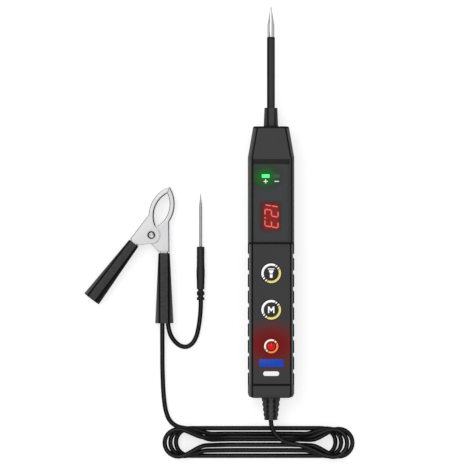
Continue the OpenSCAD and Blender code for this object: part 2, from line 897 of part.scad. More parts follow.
// The strain relief: a tapered boot with rows of slots on its four sides, neck and flange
module strain_relief() {
    slot_start = 0.8;
    row_pitch = (relief_l - 2 * slot_start) / relief_rows;
    slot_h = row_pitch * 0.45;
    slot_w = 1.9;
    slot_x = 1.1;
    slot_depth = 1.5;
    step = 0.35;
    function half_w(t) = relief_w / 2 + (relief_end_w - relief_w) / 2 * t;
    outline = [
        for (k = [0:relief_rows - 1])
            for (p = [[0, 0], [0.5, 0], [0.5, step], [1, step]])
                [half_w((k + p[0]) / relief_rows) - p[1], slot_start + (k + p[0]) * row_pitch]
    ];
    color([0.16, 0.16, 0.17])
        translate([0, tail_y, mid_z])
            rotate([90, 0, 0])
                difference() {
                    union() {
                        rotate_extrude($fn = 48)
                            polygon(concat(
                                [[0, seat_gap], [relief_w / 2, seat_gap]], outline,
                                [[relief_end_w / 2, relief_l - slot_start],
                                 [relief_end_w / 2 - 0.3, relief_l], [0, relief_l]]
                            ));
                        translate([0, 0, -wall - flange_t])
                            cylinder(r = relief_neck_r, h = wall + flange_t + 1, $fn = 48);
                        translate([0, 0, -wall - flange_t])
                            cylinder(r = relief_flange_r, h = flange_t - seat_gap, $fn = 48);
                    }
                    translate([0, 0, -wall - flange_t - over])
                        cylinder(r = lead_d / 2 + run_gap, h = relief_l + 10, $fn = 48);
                    for (k = [0:relief_rows - 1])
                        for (side = [-1, 1])
                            for (face = [-1, 1])
                                translate([
                                    side * slot_x + (side > 0 ? 0 : -slot_w),
                                    face > 0 ? half_w(1) - slot_depth : -relief_w,
                                    slot_start + (k + 0.28) * row_pitch
                                ])
                                    cube([slot_w, relief_w - half_w(1) + slot_depth, slot_h]);
                }
}

// A plain tube swept along route points, with flat ends
function unit(v) = v / norm(v);
function heading(p, i) = unit(p[min(i + 1, len(p) - 1)] - p[max(i - 1, 0)]);
function sideways(p, i) = unit(cross(heading(p, i), [0, 0, 1]));
function ring_point(p, i, r, a) =
    p[i] + r * (cos(a) * sideways(p, i) + sin(a) * cross(sideways(p, i), heading(p, i)));
module tube(p, r, sides) {
    count = len(p);
    polyhedron(
        points = [for (i = [0:count - 1]) for (k = [0:sides - 1]) ring_point(p, i, r, k * 360 / sides)],
        faces = concat(
            [[for (k = [0:sides - 1]) k]],
            [for (i = [0:count - 2]) for (k = [0:sides - 1])
                [i * sides + k, (i + 1) * sides + k, i * sides + (k + 1) % sides]],
            [for (i = [0:count - 2]) for (k = [0:sides - 1])
                [i * sides + (k + 1) % sides, (i + 1) * sides + k, (i + 1) * sides + (k + 1) % sides]],
            [[for (k = [sides - 1:-1:0]) (count - 1) * sides + k]]
        )
    );
}

module pen_lead() {
    color([0.1, 0.1, 0.1]) tube(pen_route, lead_d / 2, lead_sides);
}

module clamp_lead() {
    color([0.1, 0.1, 0.1]) tube(clamp_route, lead_d / 2, lead_sides);
}

module small_lead() {
    color([0.1, 0.1, 0.1]) tube(small_route, lead_d / 2, lead_sides);
}

// The hank's outer shape: straight runs between two round folds
module lead_hank() {
    fold_r = hank_w / 2;
    color([0.1, 0.1, 0.1])
        translate([hank_x, hank_y, 0])
            linear_extrude(hank_h)
                union() {
                    square([hank_l - hank_w, hank_w], center = true);
                    for (side = [-1, 1])
                        translate([side * (hank_l / 2 - fold_r), 0]) circle(r = fold_r, $fn = 64);
                }
}

module in_clamp() {
    translate([clamp_x, clamp_y, clamp_z])
        rotate([0, 0, clamp_turn])
            children();
}

// Moves from the clamp's middle to the start of one handle, with the handle along -Y
module at_handle(side) {
    translate([jaw_axis + side * handle_x, handle_y, 0])
        rotate([0, 0, side * handle_angle])
            children();
}

module jaw_circle(side, r, half_w) {
    translate([jaw_axis + side * (half_w - r), leaf_mid]) circle(r = r, $fn = 128);
}

// Everything on one side of the closed jaws' gap, above the neck
module jaw_side(side) {
    translate([jaw_axis + side * (jaw_gap / 2 + jaw_half_w), neck_y + jaw_reach])
        square([2 * jaw_half_w, 2 * jaw_reach], center = true);
}

// One half in plan: jaw, plate with its ear round the rivet, and the steel handle
module half_plan(side) {
    difference() {
        union() {
            intersection() {
                jaw_circle(side, jaw_r, jaw_half_w);
                jaw_side(side);
            }
            plate_plan(side);
            circle(r = ear_r, $fn = 64);
            at_handle(side) translate([-tang_w / 2, -tang_l]) square([tang_w, tang_l + 1]);
        }
        intersection() {
            jaw_circle(1, leaf_r, leaf_half_w);
            jaw_circle(-1, leaf_r, leaf_half_w);
        }
        circle(r = rivet_r + run_gap / 2, $fn = 48);
    }
}

module plate_plan(side) {
    edge = jaw_gap / 2;
    across = plate_end_w / 2 * [cos(handle_angle), sin(handle_angle)];
    outline = [[edge, neck_y], [neck_x, neck_y], plate_end + across, plate_end - across, [edge, crotch_y]];
    translate([jaw_axis, 0])
        polygon([for (p = outline) [side * p[0], p[1]]]);
}

// The web that joins the two cheeks along the outer edge, from the jaw tip to the handle's end
module web_plan(side) {
    along = [cos(handle_angle), sin(handle_angle)];
    outer = plate_end + plate_end_w / 2 * along;
    inner = plate_end + (tang_w / 2 - sheet_t) * along;
    overlap = 0.3;
    intersection() {
        difference() {
            jaw_circle(side, jaw_r, jaw_half_w);
            jaw_circle(side, jaw_r - sheet_t, jaw_half_w - sheet_t);
        }
        jaw_side(side);
    }
    outline = [[neck_x, neck_y + overlap], outer, inner, [neck_x - sheet_t, neck_y + overlap]];
    translate([jaw_axis, 0])
        polygon([for (p = outline) [side * p[0], p[1]]]);
    at_handle(side)
        translate([side > 0 ? tang_w / 2 - sheet_t : -tang_w / 2, -tang_l])
            square([sheet_t, tang_l + plate_end_gap + overlap]);
}

module clamp_half(side, h) {
    color([0.85, 0.85, 0.86])
        in_clamp() {
            translate([0, 0, -h / 2]) linear_extrude(sheet_t) half_plan(side);
            translate([0, 0, h / 2 - sheet_t]) linear_extrude(sheet_t) half_plan(side);
            translate([0, 0, -h / 2]) linear_extrude(h) web_plan(side);
        }
}

module clamp_fixed_half() {
    clamp_half(1, inner_h);
}

module clamp_lever() {
    clamp_half(-1, clamp_h);
}

// A hollow rivet with two rolled heads
module clamp_rivet() {
    top = clamp_h / 2 + run_gap;
    color([0.8, 0.8, 0.82])
        in_clamp()
            rotate_extrude($fn = 48)
                polygon([
                    [rivet_r - 0.7, -top - rivet_head_h + 0.3], [rivet_r, -top - rivet_head_h],
                    [rivet_head_r - 0.4, -top - rivet_head_h + 0.1], [rivet_head_r, -top - rivet_head_h / 2],
                    [rivet_head_r - 0.2, -top], [rivet_r, -top], [rivet_r, top],
                    [rivet_head_r - 0.2, top], [rivet_head_r, top + rivet_head_h / 2],
                    [rivet_head_r - 0.4, top + rivet_head_h - 0.1], [rivet_r, top + rivet_head_h],
                    [rivet_r - 0.7, top + rivet_head_h - 0.3]
                ]);
}

// The torsion spring: its turns round the rivet and one leg along each handle
module clamp_spring() {
    wire = 0.9;
    reach = 11;
    color([0.7, 0.7, 0.72])
        in_clamp() {
            difference() {
                translate([0, 0, -spring_h / 2]) cylinder(r = spring_r, h = spring_h, $fn = 48);
                translate([0, 0, -spring_h]) cylinder(r = spring_bore_r, h = 2 * spring_h, $fn = 48);
                for (z = [-spring_h / 6, spring_h / 6])
                    translate([0, 0, z])
                        rotate_extrude($fn = 48)
                            translate([spring_r + 0.05, 0]) circle(r = 0.3, $fn = 16);
            }
            for (side = [-1, 1])
                translate([0, 0, side * (spring_h - wire) / 2])
                    rotate([90, 0, side * (handle_angle + 12)])
                        translate([side * (spring_r - wire / 2), 0, 1])
                            cylinder(r = wire / 2, h = reach, $fn = 16);
        }
}

// A flared handle sleeve with chamfered long edges, a pocket for the steel and an open mouth
module handle_sleeve(side, pocket_h) {
    h = grip_sleeve_h;
    fit = seat_gap;
    mouth_depth = grip_sleeve_l - tang_l - 1;
    mouth_h = h - 2.4;
    round_r = 0.4;
    side_share = 0.26;
    function corners(w) = [
        for (sx = [-1, 1]) for (sz = [-1, 1]) for (c = [0, 1])
            c == 0 ? [sx * (w / 2 - round_r), sz * (h / 2 - side_share * w - round_r)]
                   : [sx * (grip_flat_w / 2 - round_r / 2), sz * (h / 2 - round_r)]
    ];
    in_clamp()
        at_handle(side)
            difference() {
                hull()
                    for (s = [[0, grip_sleeve_w], [-grip_sleeve_l, grip_mouth_w]])
                        for (c = corners(s[1]))
                            translate([c[0], s[0], c[1]])
                                rotate([90, 0, 0])
                                    cylinder(r = round_r, h = slice, center = true, $fn = 16);
                translate([-tang_w / 2 - fit, -tang_l - 1, -pocket_h / 2 - fit])
                    cube([tang_w + 2 * fit, tang_l + 2, pocket_h + 2 * fit]);
                translate([0, -grip_sleeve_l - slice, 0])
                    rotate([-90, 0, 0])
                        hull() {
                            translate([-(grip_mouth_w - 3.4) / 2, -mouth_h / 2, 0])
                                cube([grip_mouth_w - 3.4, mouth_h, slice]);
                            translate([-(tang_w + 2 * fit) / 2, -pocket_h / 2 - fit, mouth_depth + slice])
                                cube([tang_w + 2 * fit, pocket_h + 2 * fit, slice]);
                        }
            }
}

module fixed_handle_sleeve() {
    color([0.13, 0.13, 0.14]) handle_sleeve(1, inner_h);
}

module lever_handle_sleeve() {
    color([0.13, 0.13, 0.14]) handle_sleeve(-1, clamp_h);
}

// The small probe's handle: a slight swelling, then three rings at its lead end
module small_probe_handle() {
    r = small_handle_r;
    core_r = r - small_groove_depth;
    end = small_handle_l;
    lead_depth = 4;
    first_y = end - 7.2;
    second_y = end - 3.2;
    slope = 0.2;
    color([0.12, 0.12, 0.13])
        translate([small_x, small_handle_y, small_z])
            rotate([90, 0, 0])
                difference() {
                    rotate_extrude($fn = 48)
                        polygon([
                            [0, 0], [r - 0.3, 0], [r, 0.4], [r - 0.05, small_swell_start],
                            [r + small_swell, small_swell_from],
                            [r + small_swell - 0.05, small_swell_to], [r - 0.1, small_swell_end],
                            [r, first_y], [core_r, first_y + slope],
                            [core_r, first_y + small_groove_l - slope], [r, first_y + small_groove_l],
                            [r, second_y], [core_r, second_y + slope],
                            [core_r, second_y + small_groove_l - slope], [r, second_y + small_groove_l],
                            [r, end - slope], [r - slope, end], [0, end]
                        ]);
                    translate([0, 0, -over])
                        cylinder(r = small_needle_r - small_seat_step + seat_gap,
                                 h = small_seat_l + 2 * over, $fn = 32);
                    translate([0, 0, end - lead_depth])
                        cylinder(r = lead_d / 2 + run_gap, h = lead_depth + over, $fn = 32);
                }
}

module small_probe_needle() {
    r = small_needle_r;
    color([0.75, 0.75, 0.77])
        translate([small_x, small_handle_y, small_z])
            rotate([-90, 0, 0])
                rotate_extrude($fn = 32)
                    polygon([
                        [0, -small_seat_l], [r - small_seat_step, -small_seat_l],
                        [r - small_seat_step, seat_gap], [r, seat_gap],
                        [r, small_needle_l - small_point_l],
                        [r * 0.45, small_needle_l - small_point_l * 0.4],
                        [0.1, small_needle_l - 0.1], [0, small_needle_l]
                    ]);
}

rear_cover();
front_cover();
display_window();
control_panel();
left_grip();
right_grip();
torch_key();
mode_key();
power_key();
torch_ring();
mode_ring();
power_ring();
positive_led();
negative_led();
digit_display();
circuit_board();
key_switches();
buzzer();
torch_leds();
cover_screws();
nose_collar();
probe_needle();
probe_sleeve();
needle_terminal();
strain_relief();
pen_lead();
lead_hank();
clamp_lead();
clamp_fixed_half();
clamp_lever();
clamp_rivet();
clamp_spring();
fixed_handle_sleeve();
lever_handle_sleeve();
small_lead();
small_probe_handle();
small_probe_needle();
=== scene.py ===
# %% [markdown]
# A pen tester with its lead and clamp, dressed for its picture
#
# The object is a hand-held circuit tester for vehicles: a long dark housing with a needle, a window
# with red figures, three round keys and two rubber grips, and a lead that lies folded behind it and
# runs to a steel clamp and a small needle probe. The CAD model gives every rigid form. This script
# makes the forms again that gain from softer edges, adds the leads, and gives every surface a
# procedural finish.

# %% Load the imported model
import json
from math import asin, atan2, cos, degrees, hypot, pi, radians, sin, sqrt

import bmesh
import bpy
from mathutils import Matrix, Vector

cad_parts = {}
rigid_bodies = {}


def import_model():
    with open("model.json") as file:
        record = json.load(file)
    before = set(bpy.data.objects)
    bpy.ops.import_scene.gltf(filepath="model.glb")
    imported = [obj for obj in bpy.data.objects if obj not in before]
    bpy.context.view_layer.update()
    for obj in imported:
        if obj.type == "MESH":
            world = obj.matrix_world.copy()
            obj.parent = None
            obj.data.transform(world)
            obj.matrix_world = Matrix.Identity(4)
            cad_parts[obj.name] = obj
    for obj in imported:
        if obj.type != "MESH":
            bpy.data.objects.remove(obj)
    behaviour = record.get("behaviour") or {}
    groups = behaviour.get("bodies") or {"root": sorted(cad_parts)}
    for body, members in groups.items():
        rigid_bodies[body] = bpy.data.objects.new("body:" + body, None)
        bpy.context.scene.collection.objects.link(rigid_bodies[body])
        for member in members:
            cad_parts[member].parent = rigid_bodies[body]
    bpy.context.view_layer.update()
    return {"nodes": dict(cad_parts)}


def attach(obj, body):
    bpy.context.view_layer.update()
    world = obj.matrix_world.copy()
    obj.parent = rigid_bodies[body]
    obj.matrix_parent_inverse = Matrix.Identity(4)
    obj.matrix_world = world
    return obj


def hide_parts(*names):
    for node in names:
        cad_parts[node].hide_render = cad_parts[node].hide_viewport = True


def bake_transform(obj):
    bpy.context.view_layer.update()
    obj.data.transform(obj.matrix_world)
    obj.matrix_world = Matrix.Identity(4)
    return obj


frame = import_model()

# %% [markdown]
# The camera
#
# The picture looks straight down, with its upper edge along the needle, which is +Y. A wide lens
# close by would lean the sides outwards, so a long lens hangs far above. One pixel covers 0.65 mm,
# which fixes the width of the view, and with the lens that gives the camera's height.

# %% Hang the camera over the tester
MM = 0.001
PIXEL = 0.65 * MM
PICTURE_PX = 466
VIEW_X, VIEW_Y, FOCUS_Z = -24.7 * MM, -13.1 * MM, 15 * MM


def add_object(name, data):
    """A new object in the scene, with its mesh, camera or lamp."""
    made = bpy.data.objects.new(name, data)
    bpy.context.scene.collection.objects.link(made)
    return made


camera_data = bpy.data.cameras.new("overhead_camera")
camera_data.lens = 200
camera_data.sensor_width = 36
camera_data.clip_start = 0.05
camera_data.clip_end = 30
view_width = PICTURE_PX * PIXEL
camera_height = view_width * camera_data.lens / camera_data.sensor_width
camera = add_object("overhead_camera", camera_data)
camera.location = (VIEW_X, VIEW_Y, FOCUS_Z + camera_height)
bpy.context.scene.camera = camera
print("camera height:", round(camera_height, 3), "m over a view", round(view_width, 4), "m wide")

# %% [markdown]
# Smooth routes
#
# A lead is a fixed length of something flexible, so it follows one smooth line. A few points say
# where it passes, and a spline through all of them, sampled every millimetre or two, gives the line.
# A curve object would do this too, but its points and length would be harder to use again.

# %% A smooth line through route points
def in_metres(points, middle=Vector()):
    """Points given in millimetres from a middle that is given in metres."""
    return [Vector(p) * MM + middle for p in points]


def smooth_route(points, step):
    """Points along a smooth line through the given ones, about a step apart."""
    ends = [2 * points[0] - points[1], *points, 2 * points[-1] - points[-2]]
    line = []
    for a, b, c, d in zip(ends, ends[1:], ends[2:], ends[3:]):
        pieces = max(1, round((c - b).length / step))
        for k in range(pieces):
            t = k / pieces
            line.append(0.5 * (2 * b + (c - a) * t + (2 * a - 5 * b + 4 * c - d) * t * t
                               + (3 * b - a - 3 * c + d) * t * t * t))
    line.append(points[-1])
    return line


def route_length(line):
    return sum((b - a).length for a, b in zip(line, line[1:]))


# %% [markdown]
# The folded lead
#
# Behind the housing the lead lies in a flat bundle with a round fold at each end, four on the right
# and three on the left. In the middle the runs lie side by side, and one rests in the groove between
# two others. Turns of one plain shape would run into each other. So every fold has the same radius,
# the folds are staggered, and each turn is one diameter higher there than the next: towards the
# folds a run swings out over those below it, and the arcs cross without touching.

# %% Places of the runs
LEAD_MM = 3.0
HANK_MIDDLE = Vector((-8, -150, 0)) * MM
FOLD_R = 9.0
RIGHT_FOLDS = (48.65, 52.25, 45.05, 41.45)
LEFT_FOLDS = (52.25, 48.65, 45.05)
LAST_LEFT_X = -44
FLAT_OUT = (3.6, 1.8, 5.4, 9.0)
FLAT_UP = (3.95, 1.5, 1.5, 1.5)
SWING = (18.0, 18.5, 15.0, 1.0)
CLIMB = (17.0, 41.0)
STEP_UP = 3.08
RUN_STEPS, FOLD_STEPS = 32, 14
print("turns:", len(RIGHT_FOLDS), "folds on the right and", len(LEFT_FOLDS), "on the left")


# %% One run and one fold
def blend_to(a, b, share):
    return a + (b - a) * share


def eased(value, low, high):
    """0 below low, 1 above high and a smooth rise between them."""
    share = min(1.0, max(0.0, (value - low) / (high - low)))
    return share * share * (3 - 2 * share)


def fold_level(turn):
    return LEAD_MM / 2 + STEP_UP * (3 - turn)


def run(turn, side, start_x, end_x):
    """Points along one run, on the front (-1) or the back (1) of the bundle. Turn 3 is lowest."""
    points = []
    for k in range(RUN_STEPS + 1):
        x = blend_to(start_x, end_x, k / RUN_STEPS)
        fold_x = abs(start_x if abs(x - start_x) < abs(x - end_x) else end_x)
        out = blend_to(FLAT_OUT[turn], FOLD_R, eased(abs(x), fold_x - SWING[turn], fold_x))
        up = blend_to(FLAT_UP[turn], fold_level(turn), eased(abs(x), *CLIMB))
        points.append((x, side * out, up))
    return points


def fold(side, fold_x, start_up, end_up):
    """Points round one end: the right fold (1) goes front to back, the left one (-1) back to front."""
    points = []
    for k in range(1, FOLD_STEPS):
        angle = pi * (k / FOLD_STEPS - 0.5)
        x = side * (fold_x + FOLD_R * cos(angle))
        drop = 0.5 + 0.5 * sin(angle)
        points.append((x, side * FOLD_R * sin(angle), blend_to(start_up, end_up, drop)))
    return points


# %% [markdown]
# The whole line of the long lead
#
# The lead leaves the relief straight, curves down to the right and lands on the bundle. It goes
# round the turns from the top down, leaves the lowest run at the back left and runs along the floor
# to the clamp's right handle. It ends inside, where it would be crimped, so no open end shows.

# %% Chain the long lead's line
pen_stretch = [
    (0, -116, 12), (0, -122, 12), (0, -129, 12), (0, -135, 12), (0.6, -139.5, 12),
    (2.6, -143.6, 11.7), (6, -147, 11.2), (10.5, -149.6, 10.6),
]
clamp_stretch = [
    (-56, -141, 1.5), (-62, -139.4, 1.5), (-66.4, -135.4, 1.6), (-68.7, -129.4, 1.7),
    (-69.8, -122.5, 1.9), (-70.4, -115, 2.2), (-70.7, -107, 2.6), (-70.9, -99, 3.1),
    (-70.9, -91, 3.8), (-70.9, -83, 4.6), (-70.9, -76, 5.1), (-70.9, -70.5, 5.2), (-70.9, -65, 5.2),
    (-70.8, -60, 5.2), (-70.6, -54, 5.2), (-70.5, -46, 5.2), (-70.5, -38, 5.2),
]
hank_line = [(25, -0.9, 9.9), (31, -2.6, 9.7), (37, -5.2, 9.9), (43, -7.9, 10.4),
             (48.65, -9, 10.74)]
for turn, right_x in enumerate(RIGHT_FOLDS):
    level = fold_level(turn)
    hank_line += fold(1, right_x, level, level)
    if turn < len(LEFT_FOLDS):
        left_x = LEFT_FOLDS[turn]
        hank_line += run(turn, 1, right_x, -left_x)
        hank_line += fold(-1, left_x, level, level - STEP_UP)
        hank_line += run(turn + 1, -1, -left_x, RIGHT_FOLDS[turn + 1])
    else:
        hank_line += run(turn, 1, right_x, LAST_LEFT_X)
long_points = in_metres(pen_stretch) + in_metres(hank_line, HANK_MIDDLE) + in_metres(clamp_stretch)
long_line = smooth_route(long_points, 1.6 * MM)
print("long lead:", round(route_length(long_line), 3), "m in", len(long_line), "points")

# %% [markdown]
# The short lead's line
#
# A second, much shorter lead comes out of the same handle, turns back on itself and ends in the
# handle of the small needle probe.

# %% The short lead's line
small_stretch = [
    (-67.7, -65, 5.2), (-67.5, -69.5, 5.2), (-66.9, -74.5, 5), (-65.6, -79.5, 4.2),
    (-62.8, -84, 3), (-59, -87, 2), (-55, -87.6, 1.6), (-51.4, -85.4, 1.6), (-48.8, -81, 1.7),
    (-47.2, -74.5, 2), (-46.2, -67, 2.4), (-45.8, -60.5, 2.7), (-45.8, -55, 2.75),
]
small_line = smooth_route(in_metres(small_stretch), 1.2 * MM)
print("short lead:", round(route_length(small_line), 3), "m in", len(small_line), "points")


# %% [markdown]
# From a line to a round sheath
#
# A curve object could carry a round bevel, but a mesh serves here, as it does for the clamp's
# spring. Each ring stands square to the line, and its zero direction is carried along from the
# last ring, so that the tube doesn't twist. Every mesh is built in millimetres, and one function
# turns it into a piece.

# %% Make a piece from a mesh
def make_piece(name, bm, body, replaces=(), soft_deg=32, place=Matrix()):
    """A mesh in mm is put in place and rides on a body; edges sharper than soft_deg stay crisp."""
    bm.transform(Matrix.Scale(MM, 4) @ place)
    bmesh.ops.recalc_face_normals(bm, faces=bm.faces)
    for face in bm.faces:
        face.smooth = True
    for edge in bm.edges:
        if len(edge.link_faces) == 2 and edge.calc_face_angle(0) > radians(soft_deg):
            edge.smooth = False
    mesh = bpy.data.meshes.new(name)
    bm.to_mesh(mesh)
    bm.free()
    piece = add_object(name, mesh)
    if body:
        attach(piece, body)
    if replaces:
        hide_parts(*replaces)
    return piece


# %% Skins and round tubes
def skin(bm, rows):
    """Joins rings of points by faces, with a cap on both ends."""
    rings = [[bm.verts.new(point) for point in row] for row in rows]
    for a, b in zip(rings, rings[1:]):
        for n, m in enumerate([*range(1, len(a)), 0]):
            bm.faces.new((a[n], a[m], b[m], b[n]))
    bm.faces.new(rings[0])
    bm.faces.new(rings[-1][::-1])


def all_round(sides):
    """The angles of a ring's corners."""
    return [2 * pi * n / sides for n in range(sides)]


def tube(line, radius, sides):
    """A closed round tube along a line of points, in mm."""
    bm = bmesh.new()
    rings = []
    ahead = (line[1] - line[0]).normalized()
    across = ahead.orthogonal().normalized()
    for k, point in enumerate(line):
        ahead = (line[min(k + 1, len(line) - 1)] - line[max(k - 1, 0)]).normalized()
        across = (across - ahead * across.dot(ahead)).normalized()
        up = ahead.cross(across)
        rings.append([point + radius * (cos(a) * across + sin(a) * up) for a in all_round(sides)])
    skin(bm, rings)
    return bm


# %% Make both leads
long_lead, short_lead = (
    make_piece(name, tube([p / MM for p in line], LEAD_MM / 2, 14), "tester", replaced)
    for name, line, replaced in (("long_lead", long_line, ["pen_lead", "lead_hank", "clamp_lead"]),
                                 ("short_lead", small_line, ["small_lead"])))
print("leads made:", len(long_lead.data.polygons) + len(short_lead.data.polygons), "faces")

# %% [markdown]
# Shader maths as plain arithmetic
#
# A finish is a small network of nodes. Written out node by node it would be long, so one class wraps
# a socket, and 1 - mask adds a Math node as a reader expects. A second class holds a network, with
# one method that adds any node. A third is a finish: its shader, and a few words that most need.

# %% A socket that does arithmetic
def math_node(operation, flipped=False):
    """A method that adds one Math node of that kind."""
    def method(self, other=0):
        pair = (other, self) if flipped else (self, other)
        return self.net.node("ShaderNodeMath", {"operation": operation}, dict(enumerate(pair)))

    return method


class Wire:
    """One output socket of a network."""

    def __init__(self, net, socket):
        self.net = net
        self.socket = socket

    __add__ = __radd__ = math_node("ADD")
    __mul__ = __rmul__ = math_node("MULTIPLY")
    __sub__ = math_node("SUBTRACT")
    __rsub__ = math_node("SUBTRACT", flipped=True)
    __pow__ = math_node("POWER")
    __abs__ = math_node("ABSOLUTE")

    def rise(self, low, high):
        """0 below low, 1 above high and a smooth rise between them. High may lie below low."""
        return self.net.node("ShaderNodeMapRange", {"interpolation_type": "SMOOTHSTEP"},
                             {"Value": self, "From Min": low, "From Max": high})


# %% A network
def as_color(value):
    """A colour as it is, or a number as a grey."""
    return tuple(value) if hasattr(value, "__len__") else (value, value, value)


class Net:
    """A node tree, with one method that adds any node."""

    def __init__(self, tree):
        self.tree = tree
        tree.nodes.clear()

    def put(self, socket, value):
        """Links a wire to a socket, or sets the socket's own value."""
        if isinstance(value, Wire):
            self.tree.links.new(value.socket, socket)
        elif socket.type == "RGBA":
            socket.default_value = (*as_color(value), 1)
        else:
            socket.default_value = value

    def node(self, kind, settings=None, sockets=None, out=0):
        """Any node: its settings first, then the values or wires of its sockets."""
        made = self.tree.nodes.new(kind)
        for name, value in (settings or {}).items():
            setattr(made, name, value)
        for name, value in (sockets or {}).items():
            self.put(made.inputs[name], value)
        return Wire(self, made.outputs[out])

    def parts(self, kind):
        """A texture coordinate as three wires."""
        made = self.tree.nodes.new("ShaderNodeSeparateXYZ")
        self.put(made.inputs[0], self.node("ShaderNodeTexCoord", out=kind))
        return [Wire(self, socket) for socket in made.outputs]

    def show(self, kind, shader):
        """Adds the output node and links the shader that it shows."""
        self.put(self.tree.nodes.new(kind).inputs["Surface"], shader)


# %% A finish
class Finish(Net):
    """A procedural material. Numbers that are the same all over are given as the shader's sockets."""

    WORDS = {"specular": "Specular IOR Level", "metallic": "Metallic", "roughness": "Roughness",
             "light": "Emission Strength", "base": "Base Color"}

    def __init__(self, name, **fixed):
        self.material = bpy.data.materials.new(name)
        self.material.use_nodes = True
        super().__init__(self.material.node_tree)
        self.shader = self.tree.nodes.new("ShaderNodeBsdfPrincipled")
        self.show("ShaderNodeOutputMaterial", Wire(self, self.shader.outputs[0]))
        for word, value in fixed.items():
            self.feed(self.WORDS[word], value)

    def feed(self, name, value):
        self.put(self.shader.inputs[name], value)

    def place(self):
        """The place on the piece as three wires, in millimetres of the whole model's frame."""
        return [wire * 1000 for wire in self.parts("Object")]

    def facing(self):
        """The way that the surface faces, as three wires from -1 to 1."""
        return self.parts("Normal")

    def grain(self, size_mm, detail=3, stretch=(1, 1, 1)):
        """Noise from 0 to 1 whose spots are about that many millimetres across."""
        where = self.node("ShaderNodeTexCoord", out="Object")
        if stretch != (1, 1, 1):
            where = self.node("ShaderNodeVectorMath", {"operation": "MULTIPLY"}, {0: where, 1: stretch})
        return self.node("ShaderNodeTexNoise", {}, {"Vector": where, "Scale": 500 / size_mm,
                                                    "Detail": detail, "Roughness": 0.55})

    def mix(self, share, first, second):
        """A colour between two others."""
        return self.node("ShaderNodeMix", {"data_type": "RGBA"}, {0: share, 6: first, 7: second}, 2)

    def color(self, share, first, second):
        self.feed("Base Color", self.mix(share, first, second))

    def glow(self, share, first, second):
        self.feed("Emission Color", self.mix(share, first, second))

    def bump(self, height, depth_mm):
        """Feeds Normal with a relief of that depth."""
        self.feed("Normal", self.node("ShaderNodeBump", {}, {
            "Height": height, "Distance": depth_mm * MM, "Strength": 1}))


# %% Words for shapes on a surface
def near(x, y, cx, cy):
    """Distance in the plan from a point, as a wire."""
    return ((x - cx) * (x - cx) + (y - cy) * (y - cy)) ** 0.5


def band(value, middle, half, soft):
    """1 within half of a middle value, with soft sides, else 0."""
    return abs(value - middle).rise(half + soft, half)


def within(value, low, high, soft):
    return band(value, (low + high) / 2, (high - low) / 2, soft)


def wear(name, color, grain_mm, roughness, depth_mm, spread=0.12, **fixed):
    """A plain moulded finish: two close tones in soft clouds, uneven gloss and a fine relief."""
    finish = Finish(name, **fixed)
    dark, light = ([c * share for c in as_color(color)] for share in (1 - spread, 1 + spread))
    finish.tone = finish.mix(finish.grain(14, detail=4), dark, light)
    finish.feed("Base Color", finish.tone)
    finish.feed("Roughness", roughness - 0.04 + finish.grain(5) * 0.08)
    finish.bump(finish.grain(grain_mm, detail=2), depth_mm)
    return finish


def dress(finish, *names):
    """Gives a finish to pieces or CAD nodes."""
    for name in names:
        piece = frame["nodes"].get(name) or bpy.data.objects[name]
        piece.data.materials.clear()
        piece.data.materials.append(finish.material)


print("shader helpers ready")

# %% [markdown]
# The housing's plastic
#
# The shells are moulded in a dark charcoal plastic with a fine spark texture, which breaks up the
# light. Two close tones in soft clouds keep it from looking painted. A painted shade line follows each
# long edge between face and chamfer and tapers with the nose, and beyond it the chamfer gets a
# painted highlight in two steps, most beside the grips. Painted shade lines also mark the seams, the
# step at the nose and the nose's front edge. Lines could be cut into the form, but as tones that
# follow from the place they cost nothing and stay sharp close up.

# %% Dress the housing
SHOULDER_Y, NOSE_Y = 36.05, 56.05
FACE_HALF, NOSE_FACE_HALF = 12.8, 9.3
PAINTED_GAP_SHADE = 0.002
housing = wear("charcoal_housing", (0.048, 0.048, 0.049), 0.5, 0.5, 0.012, specular=0.12)
hx, hy, hz = housing.place()
taper = (hy - SHOULDER_Y) * ((NOSE_FACE_HALF - FACE_HALF) / (NOSE_Y - SHOULDER_Y))
edge_x = FACE_HALF + taper * hy.rise(SHOULDER_Y - 0.01, SHOULDER_Y + 0.01)
beside_window = within(hy, -19.5, 35.5, 1)
edge_x = edge_x - 0.1 - hx.rise(-1, 1) * (1 - beside_window) * 0.55
# Painted shade: a dark line along each long edge between face and chamfer, tapering with the nose.
edge_shade_line = band(abs(hx - 0.5), edge_x, 0.36, 0.3) * hz.rise(16, 18)
step_line = within(hy, 31.5, 34.6, 0.25) * within(abs(hx), 0, 12, 0.2) * hz.rise(21, 22)
seam_line = within(hy, -20.4, -19.2, 0.1) * hz.rise(20, 21.5)
foot_line = within(hy, -112, -111.1, 0.1) * within(abs(hx), 0, 12.6, 0.2) * hz.rise(20, 21.5)
nose_line = hy.rise(NOSE_Y - 1.5, NOSE_Y - 1.1)
# Painted shade lines at the edges, the seams, the step and the nose's front edge.
painted_shade_lines = (edge_shade_line + seam_line + foot_line + nose_line + step_line * 0.6).rise(0, 1)
past_edge = abs(hx - 0.3) - edge_x
# Painted highlight: beyond the edge line the chamfer gets lighter in two steps, most beside the grips.
chamfer_painted_highlight = housing.mix(past_edge.rise(0.35, 0.75), housing.tone, (0.075, 0.075, 0.076))
grip_side_painted_highlight = housing.mix(within(hy, -110.8, -20.2, 0.3), (0.10, 0.10, 0.101), (0.21, 0.21, 0.212))
chamfer_painted_highlight = housing.mix(past_edge.rise(1, 1.4), chamfer_painted_highlight, grip_side_painted_highlight)
housing.color(painted_shade_lines, chamfer_painted_highlight, PAINTED_GAP_SHADE)
dress(housing, "rear_cover", "front_cover")
print("housing dressed")

# %% Dress the nose collar
collar = wear("collar_plastic", (0.056, 0.056, 0.057), 0.6, 0.42, 0.008, specular=0.1)
cx, cy, _ = collar.place()
